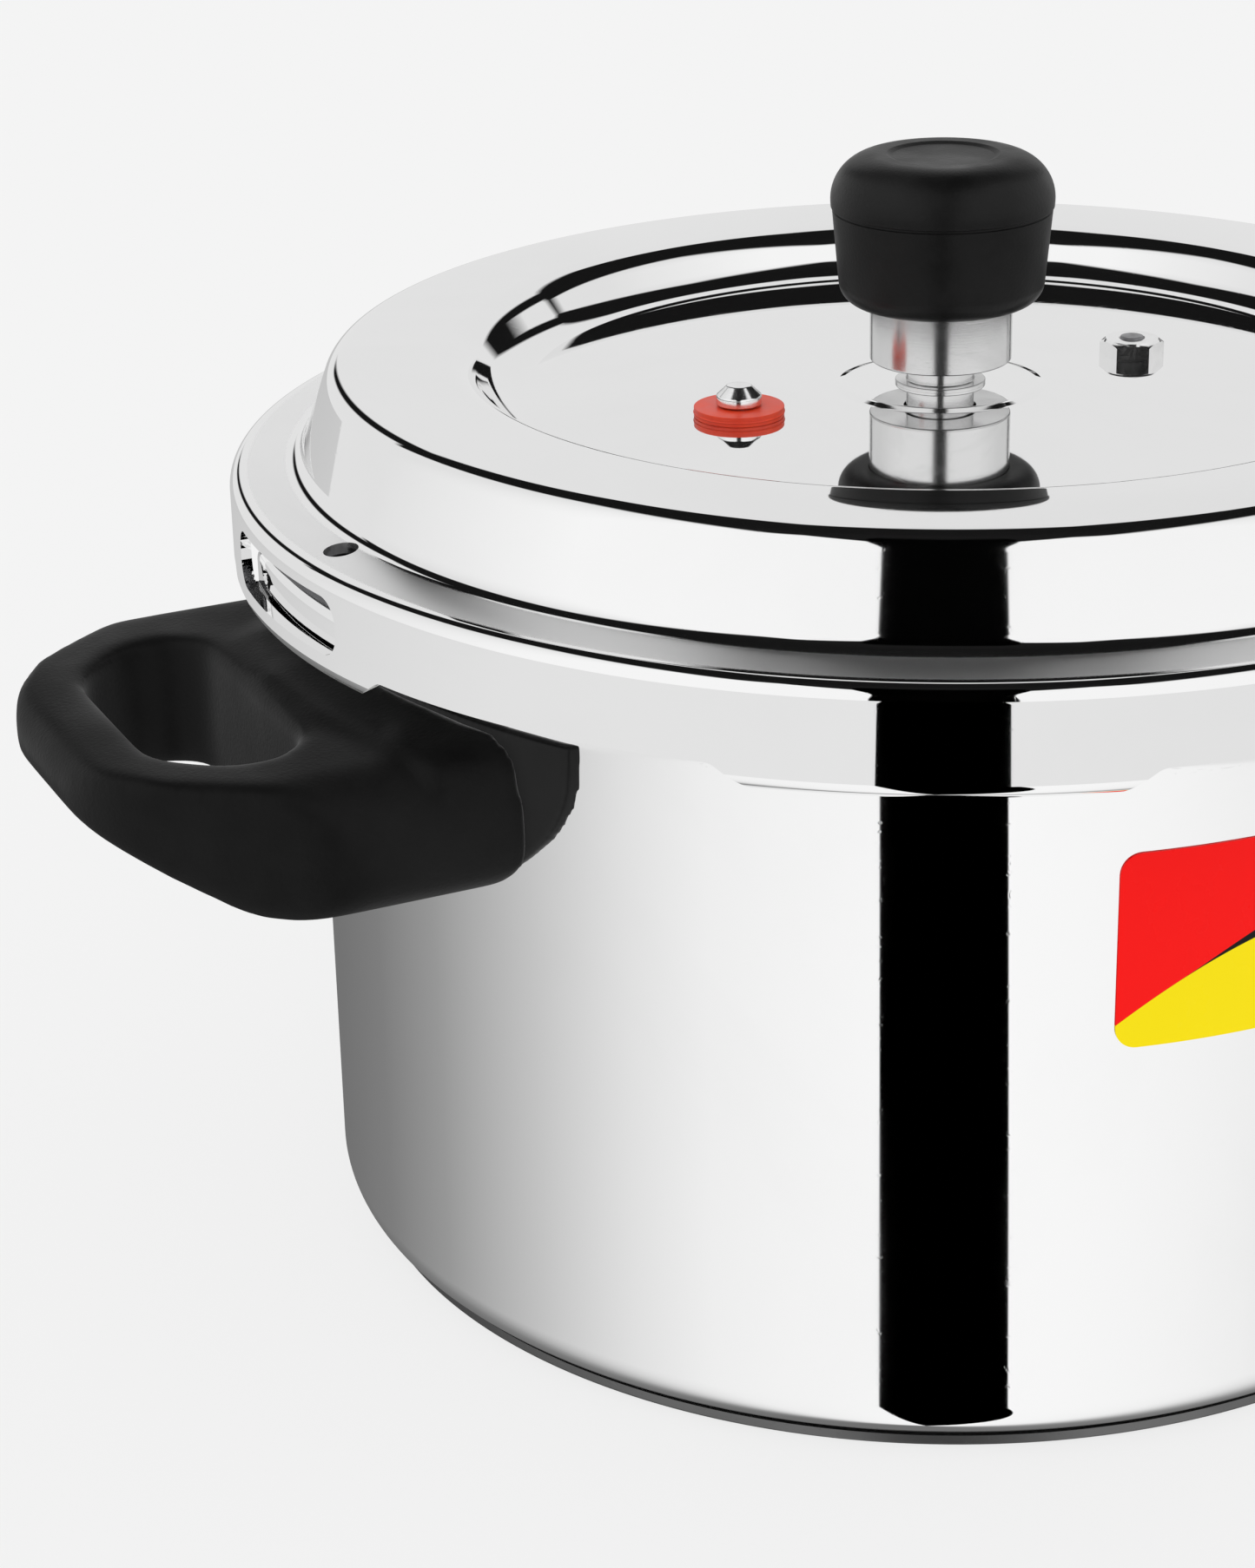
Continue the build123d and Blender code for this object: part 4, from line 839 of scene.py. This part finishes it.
def hexagon(name, flats, bottom, top, chamfer, bore, centre, material, body):
    """Hexagonal head with its corners turned off, bored through."""
    steps = 16
    verts, rings = [], []
    corner = flats / 2 / cos(pi / 6)
    for r, z in (
        (bore, bottom),
        (corner, bottom),
        (corner, top - chamfer),
        (flats / 2 + 0.05, top - chamfer * 0.35),
        (flats / 2 - 0.25, top),
        (bore + 0.2, top),
        (bore, top - 0.2),
    ):
        ring = []
        for k in range(6 * steps):
            t = 2 * pi * k / (6 * steps)
            flat = flats / 2 / cos((t + pi / 6) % (pi / 3) - pi / 6)
            ring.append(len(verts))
            height = z
            if r == corner and z > bottom:
                height = top - chamfer * 0.35 - (flat - flats / 2) * 0.55
            reach = min(r, flat)
            verts.append((centre[0] + reach * cos(t), centre[1] + reach * sin(t), height))
        rings.append(ring)
    faces = []
    for i in range(len(rings)):
        a, b = rings[i], rings[(i + 1) % len(rings)]
        for k in range(len(a)):
            n = (k + 1) % len(a)
            faces.append((a[k], a[n], b[n], b[k]))
    return soften(piece(name, verts, faces, material, body), 28.0)


plug_centre = (PITCH, 0.0)
plug = hexagon(
    "fuse_plug", 9.8, 146.0, 150.6, 1.0, 2.12, plug_centre, bright_aluminium, "lid"
)
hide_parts("safety_plug")

seal_line = [
    (2.4, DISH_FLOOR - 0.02),
    (7.65, DISH_FLOOR - 0.02),
    (7.65, 148.2),
    (7.8, 148.35),
    (7.65, 148.5),
    (7.65, 149.3),
    (2.4, 149.3),
]
pin_centre = (-PITCH, 0.0)
seal_outline = rounded(seal_line, [0.2, 0.35, 0.1, 0.03, 0.1, 0.55, 0.3], 18.0)
seal = lathe("indicator_grommet", seal_outline, silicone, "lid", 128, pin_centre)
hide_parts("indicator_seal")
pin_line = [(0.0, 149.6), (3.85, 149.6), (3.85, 151.15), (2.0, 152.9), (0.0, 152.9)]
pin_outline = bend(pin_line, [0.25, 0.5, 0.5], 12.0)
stem = [(2.0, 149.6), (2.0, 138.5), (0.0, 138.5)]
pin_outline = [(0.0, 152.9)] + pin_outline[1:-1][::-1] + stem
pin = lathe(
    "indicator_stem", pin_outline, bright_aluminium, "indicator", 96, pin_centre
)
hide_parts("indicator_pin")

# ------------------------------------------------------------------ regulator weight
weight_line = [
    (6.25, 152.3),
    (12.25, 152.3),
    (12.25, 172.3),
    (8.0, 172.3),
    (8.0, 179.3),
    (2.52, 179.3),
    (2.52, 169.7),
    (6.25, 169.7),
]
weight_outline = rounded(weight_line, [0.4, 0.9, 0.2, 0.1, 0.2, 0.1, 0.1, 0.1], 18.0)
weight = lathe("weight_sleeve", weight_outline, turned_steel, "weight", segments=128)
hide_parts("weight_body")

cap_line = [
    (12.35, 162.3),
    (17.3, 162.3),
    (18.75, 178.3),
    (18.5, 178.5),
    (18.5, 178.8),
    (19.0, 179.0),
    (19.6, 187.9),
    (9.6, 187.9),
    (8.7, 187.5),
    (0.0, 187.5),
]
cap_outer = bend(cap_line, [4.0, 0.08, 0.06, 0.06, 0.1, 7.6, 0.5, 0.6], 5.0)
cap_outline = cap_outer + [(0.0, 179.35), (8.1, 179.35), (8.1, 172.35), (12.35, 172.35)]
knob = lathe("weight_knob", cap_outline, knob_phenolic, "weight", segments=160)
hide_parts("weight_cap")

# ------------------------------------------------------------------ handles
def root_collar():
    """Raised root of the helper grip, with a low lip under it beside the finger opening."""
    inner_radius = 112.9
    verts, faces = [], []
    # sideways place, top, foot
    rows = (
        (-49.6, 108.0, 98.0),
        (-49.2, 112.5, 98.0),
        (-47.5, 116.0, 98.0),
        (-44.5, 117.7, 98.0),
        (-38.0, 118.2, 96.0),
        (-20.0, 118.2, 91.5),
        (0.0, 118.2, 90.2),
        (20.0, 117.6, 90.0),
        (32.0, 115.8, 91.0),
        (40.0, 113.0, 96.0),
    )
    for y, top, foot in rows:
        near = -sqrt(inner_radius**2 - y**2)
        verts += [
            (near, y, foot),
            (near - 16.2, y, foot),
            (near - 13.0, y, top - 2.4),
            (near, y, top),
        ]
    for k in range(len(rows) - 1):
        faces += band(4 * k, 4 * k + 4, 4)
    last = len(verts) - 4
    return verts, faces + [(0, 1, 2, 3), (last + 3, last + 2, last + 1, last)]


grip = (phenolic, "pot", "black_phenolic")
plate = (0.5, 16, 0.05, plate_paint, "pot", "black_plate")
helper = moulded(["helper_handle"], "helper_grip", 0.8, 45, 0.3, *grip, root_collar())
moulded(["main_handle_root", "main_handle"], "long_grip", 0.9, 14, 0.1, *grip)
moulded(["lid_handle"], "lid_grip", 0.9, 14, 0.1, phenolic, "lid", "black_phenolic")
helper_plate = moulded(["helper_back_plate"], "helper_plate", *plate)
helper.visible_glossy = False
helper_plate.visible_glossy = False
moulded(["main_back_plate"], "main_plate", *plate)


def screw_pattern():
    """Slotted screw, head down, with the underside of its head at height zero."""
    head = bend([(0.0, -3.0), (4.4, -3.0), (4.4, 0.0), (2.5, 0.0)], [0.8, 0.15], 18.0)
    outline = head + [(2.5, 5.0), (0.0, 5.0)]
    obj = lathe("screw_pattern", outline, None, None, 48, polished=False)
    groove = [(-0.6, -4.0), (0.6, -4.0), (0.6, -1.8), (-0.6, -1.8)]
    return cut(obj, [prism(groove, 6.0, -6.0, 25.0)])


for row_name, node_name, places, body in (
    ("helper_screw_row", "helper_screw", [(-119.0, 0.0, 96.0)], "pot"),
    ("main_screw_row", "main_screws", [(156.0, 0.0, 101.0), (169.0, 0.0, 101.0)], "pot"),
    ("lid_screw_row", "lid_screws", [(141.2, 0.0, 127.0), (167.2, 0.0, 127.0)], "lid"),
):
    row = copies(row_name, screw_pattern(), places, 0.9, plated_steel, body)
    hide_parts(node_name)

# ------------------------------------------------------------------ carried-over nodes
STEEL_NODES = (
    "weight_needle",
    "helper_bracket",
    "main_bracket",
    "lid_bracket",
    "vent_washer",
    "vent_nut",
    "safety_plug_washer",
    "safety_plug_nut",
    "indicator_clip",
)
FINISHES = {name: plated_steel for name in STEEL_NODES}
FINISHES.update({"base_core": core_metal, "safety_plug_core": cast_alloy})
for name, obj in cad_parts.items():
    finish = FINISHES.get(name, phenolic)
    if not obj.material_slots:
        obj.data.materials.append(finish)
    for slot in obj.material_slots:
        slot.material = finish

# ------------------------------------------------------------------ studio
scene = bpy.context.scene
scene.view_settings.view_transform = "Standard"
scene.view_settings.look = "None"


def stage_piece(name, verts, faces, material):
    """A part of the studio, which is not part of the object."""
    mesh = bpy.data.meshes.new(name)
    mesh.from_pydata(verts, [], faces)
    mesh.materials.append(material)
    obj = bpy.data.objects.new(name, mesh)
    scene.collection.objects.link(obj)
    return obj


def bare_material(name):
    """A material with only its output, and that output's surface socket."""
    made = bpy.data.materials.new(name)
    made.use_nodes = True
    tree = made.node_tree
    tree.nodes.remove(tree.nodes["Principled BSDF"])
    return made, tree, tree.nodes["Material Output"].inputs["Surface"]


WHITE = (1, 1, 1, 1)
PALE = 0.905
FLOOR_HALF = 30.0
FLOOR_HEIGHT = -0.0002
MATT_SHARE = 0.14
floor_paint, tree, surface = bare_material("floor_paint")
glow = node(tree, "ShaderNodeEmission", {"Color": WHITE, "Strength": PALE})
matt = node(tree, "ShaderNodeBsdfDiffuse", {"Color": (PALE, PALE, PALE, 1)})
mixed = node(tree, "ShaderNodeMixShader", {0: MATT_SHARE, 1: glow.outputs[0], 2: matt.outputs[0]})
tree.links.new(mixed.outputs[0], surface)
floor_corners = [
    (x * FLOOR_HALF, y * FLOOR_HALF, FLOOR_HEIGHT) for x, y in ((-1, -1), (1, -1), (1, 1), (-1, 1))
]
floor = stage_piece("studio_floor", floor_corners, [(0, 1, 2, 3)], floor_paint)
floor.visible_glossy = False

# a pale ring on the floor, seen only in the steel: the skirt mirrors it, the wall mirrors nearer floor
RING_STEPS = 120
RING_START, RING_END = 9.65, 360 - 7.6
RING_HEIGHT = -0.0003
RING_REACH = 2.0
# degrees off the camera's azimuth, against the inner edge in mm and against the glow
ring_edge = ((0, 402), (34, 398), (69, 382), (103, 358), (140, 327), (180, 300))
ring_glow = ((0, 0.835), (60, 0.81), (92, 0.75), (140, 0.60), (180, 0.50))


def along_ring(off, table):
    return float(np.interp(off, [place for place, _ in table], [value for _, value in table]))


ring_verts, ring_faces, glows = [], [], []
for k in range(RING_STEPS + 1):
    a = RING_START + (RING_END - RING_START) * k / RING_STEPS
    off = min(a, 360 - a)
    t = radians(CAMERA_AZIMUTH + a)
    for r in (along_ring(off, ring_edge) * MM, RING_REACH):
        ring_verts.append((r * cos(t), r * sin(t), RING_HEIGHT))
        glows.append(along_ring(off, ring_glow))
    if k:
        ring_faces.append((2 * k - 2, 2 * k - 1, 2 * k + 1, 2 * k))
ring_light, tree, surface = bare_material("ring_light")
strength = node(tree, "ShaderNodeAttribute", attribute_name="glow").outputs["Fac"]
glow = node(tree, "ShaderNodeEmission", {"Color": WHITE, "Strength": strength})
tree.links.new(glow.outputs[0], surface)
pale_ring = stage_piece("pale_ring", ring_verts, ring_faces, ring_light)
pale_ring.data.attributes.new("glow", "FLOAT", "POINT").data.foreach_set("value", glows)
pale_ring.visible_camera = False
pale_ring.visible_diffuse = False
pale_ring.visible_shadow = False

world = bpy.data.worlds.new("studio")
scene.world = world
world.use_nodes = True
tree = world.node_tree
for old in list(tree.nodes):
    tree.nodes.remove(old)
way = node(tree, "ShaderNodeTexCoord").outputs["Generated"]
part = node(tree, "ShaderNodeSeparateXYZ", {"Vector": way})
height = part.outputs["Z"]
level = node(tree, "ShaderNodeCombineXYZ", {"X": part.outputs["X"], "Y": part.outputs["Y"]})
level = node(tree, "ShaderNodeVectorMath", {0: level.outputs[0]}, operation="NORMALIZE").outputs[0]


def toward(direction, azimuth):
    """The share of a direction that runs to an azimuth."""
    a = radians(azimuth)
    pair = {0: direction, 1: (cos(a), sin(a), 0.0)}
    return node(tree, "ShaderNodeVectorMath", pair, operation="DOT_PRODUCT").outputs["Value"]


def ramp(value, stops):
    made = node(tree, "ShaderNodeValToRGB", {"Fac": value})
    bar = made.color_ramp.elements
    while len(bar) < len(stops):
        bar.new(0.5)
    for stop, (place, shade) in zip(bar, stops):
        stop.position = place
        stop.color = (shade, shade, shade, 1)
    return made.outputs["Color"]


def blend(factor, a, b):
    """From a to b as the factor goes from 0 to 1."""
    made = node(tree, "ShaderNodeMix", {}, data_type="FLOAT")
    for socket, value in zip([s for s in made.inputs if s.type == "VALUE"], (factor, a, b)):
        if isinstance(value, bpy.types.NodeSocket):
            tree.links.new(value, socket)
        else:
            socket.default_value = value
    return made.outputs[0]


def step(value, sharpness):
    """From 0 to 1 as a value passes zero."""
    return math(tree, "MULTIPLY_ADD", value, sharpness, 0.5, clamp=True)


def less(a, b):
    return math(tree, "SUBTRACT", a, b)


def times(a, b):
    return math(tree, "MULTIPLY", a, b)


def line_at(value, slope, start):
    return math(tree, "MULTIPLY_ADD", value, slope, start)


# below the level: dark behind the object, white in front of it, turned a little from the camera
front = toward(level, CAMERA_AZIMUTH + 10.0)
low_stops = [
    (0.0, 0.17),
    (0.14, 0.22),
    (0.295, 0.33),
    (0.52, 0.58),
    (0.70, 0.80),
    (0.82, 0.92),
    (1.0, 1.0),
]
low = ramp(line_at(front, 0.5, 0.5), low_stops)

# the dark gap between the lights overhead, drawn on a level ceiling one unit up
lift = math(tree, "MAXIMUM", height, 0.02)
ahead_part, side_part = toward(way, CAMERA_AZIMUTH), toward(way, CAMERA_AZIMUTH + 90.0)
plan_x = math(tree, "DIVIDE", ahead_part, lift)
plan_y = math(tree, "ABSOLUTE", math(tree, "DIVIDE", side_part, lift))
edge = math(tree, "MAXIMUM", line_at(plan_x, -0.35, 0.49), line_at(plan_x, -0.95, 0.31))
reach = line_at(step(less(plan_y, 0.22), 6.0), 0.55, 0.70)
limit = line_at(step(less(0.24, plan_y), 10.0), 0.25, 0.30)
gap = times(step(less(edge, plan_y), 12.0), step(less(limit, plan_x), 12.0))
gap = times(gap, step(math(tree, "ADD", plan_x, reach), 10.0))

# its two arms lead away from the camera, and the far ends of the shoulder mirror them
spread = math(tree, "ARCTAN2", math(tree, "ABSOLUTE", side_part), times(ahead_part, -1.0))
near_edge = line_at(height, 0.384, 0.323)
far_edge = line_at(height, 0.907, 0.332)
arm = times(step(less(spread, near_edge), 22.0), step(less(far_edge, spread), 22.0))
arm = times(arm, step(less(0.70, height), 12.0))
arm = times(arm, step(less(height, 0.12), 25.0))
gap = times(math(tree, "MAXIMUM", gap, arm), 0.99)

# the open sky, a little brighter toward the camera, down to where the low part begins
facing = math(tree, "MULTIPLY_ADD", toward(level, CAMERA_AZIMUTH), 1.2, 0.5, clamp=True)
sky = times(blend(facing, 0.80, 0.98), less(1.0, gap))
shade = blend(step(less(-0.32, height), 25.0), sky, low)

# the narrow black strip behind the camera, wider toward the top
angle = math(tree, "ARCTAN2", side_part, ahead_part)
sunk = math(tree, "ADD", height, 0.395)
middle = math(tree, "MAXIMUM", line_at(sunk, -0.175, 0.0297), 0.0201)
half = math(tree, "MAXIMUM", line_at(sunk, -0.1, 0.1937), 0.191)
flare = math(tree, "POWER", math(tree, "MAXIMUM", height, 0.0), 6.0)
half = math(tree, "MULTIPLY_ADD", flare, 0.37, half)
off = math(tree, "ABSOLUTE", less(angle, middle))
slit = times(step(less(half, off), 250.0), step(less(0.965, height), 30.0))
shade = times(shade, less(1.0, slit))

# steel mirrors the drawn studio, everything is lit by an even one, and the view shows a plain one
path = node(tree, "ShaderNodeLightPath")
mirror_light, soft_light, backdrop = (
    node(tree, "ShaderNodeBackground", {"Color": WHITE, "Strength": strength}).outputs[0]
    for strength in (shade, 1.0, PALE)
)
is_glossy, is_view = path.outputs["Is Glossy Ray"], path.outputs["Is Camera Ray"]
first = node(tree, "ShaderNodeMixShader", {0: is_glossy, 1: soft_light, 2: mirror_light})
second = node(tree, "ShaderNodeMixShader", {0: is_view, 1: first.outputs[0], 2: backdrop})
out = node(tree, "ShaderNodeOutputWorld")
tree.links.new(second.outputs[0], out.inputs["Surface"])

# ------------------------------------------------------------------ camera
yaw, pitch, roll = radians(-4.912), radians(22.70), radians(-1.14)
FRAME_HEIGHT = 1806.0
FOCAL_LENGTH = 4084.0
SHIFT_X, SHIFT_Y = -30.0, 17.4
SENSOR = 36.0
ahead = Vector((sin(yaw) * cos(pitch), cos(yaw) * cos(pitch), -sin(pitch)))
right = Vector((cos(yaw), -sin(yaw), 0.0))
up = right.cross(ahead)
right, up = right * cos(roll) + up * sin(roll), up * cos(roll) - right * sin(roll)
turn = Matrix.Rotation(radians(CAMERA_AZIMUTH + 90.0), 4, "Z")
pose = Matrix((right, up, -ahead)).transposed().to_4x4()
pose.translation = Vector((0.0, -0.59642, 0.31922))
view = bpy.data.objects.new("studio_camera", bpy.data.cameras.new("studio_camera"))
scene.collection.objects.link(view)
view.matrix_world = turn @ pose
view.data.sensor_width = SENSOR
view.data.lens = FOCAL_LENGTH / FRAME_HEIGHT * SENSOR
view.data.shift_x = SHIFT_X / FRAME_HEIGHT
view.data.shift_y = SHIFT_Y / FRAME_HEIGHT
scene.camera = view
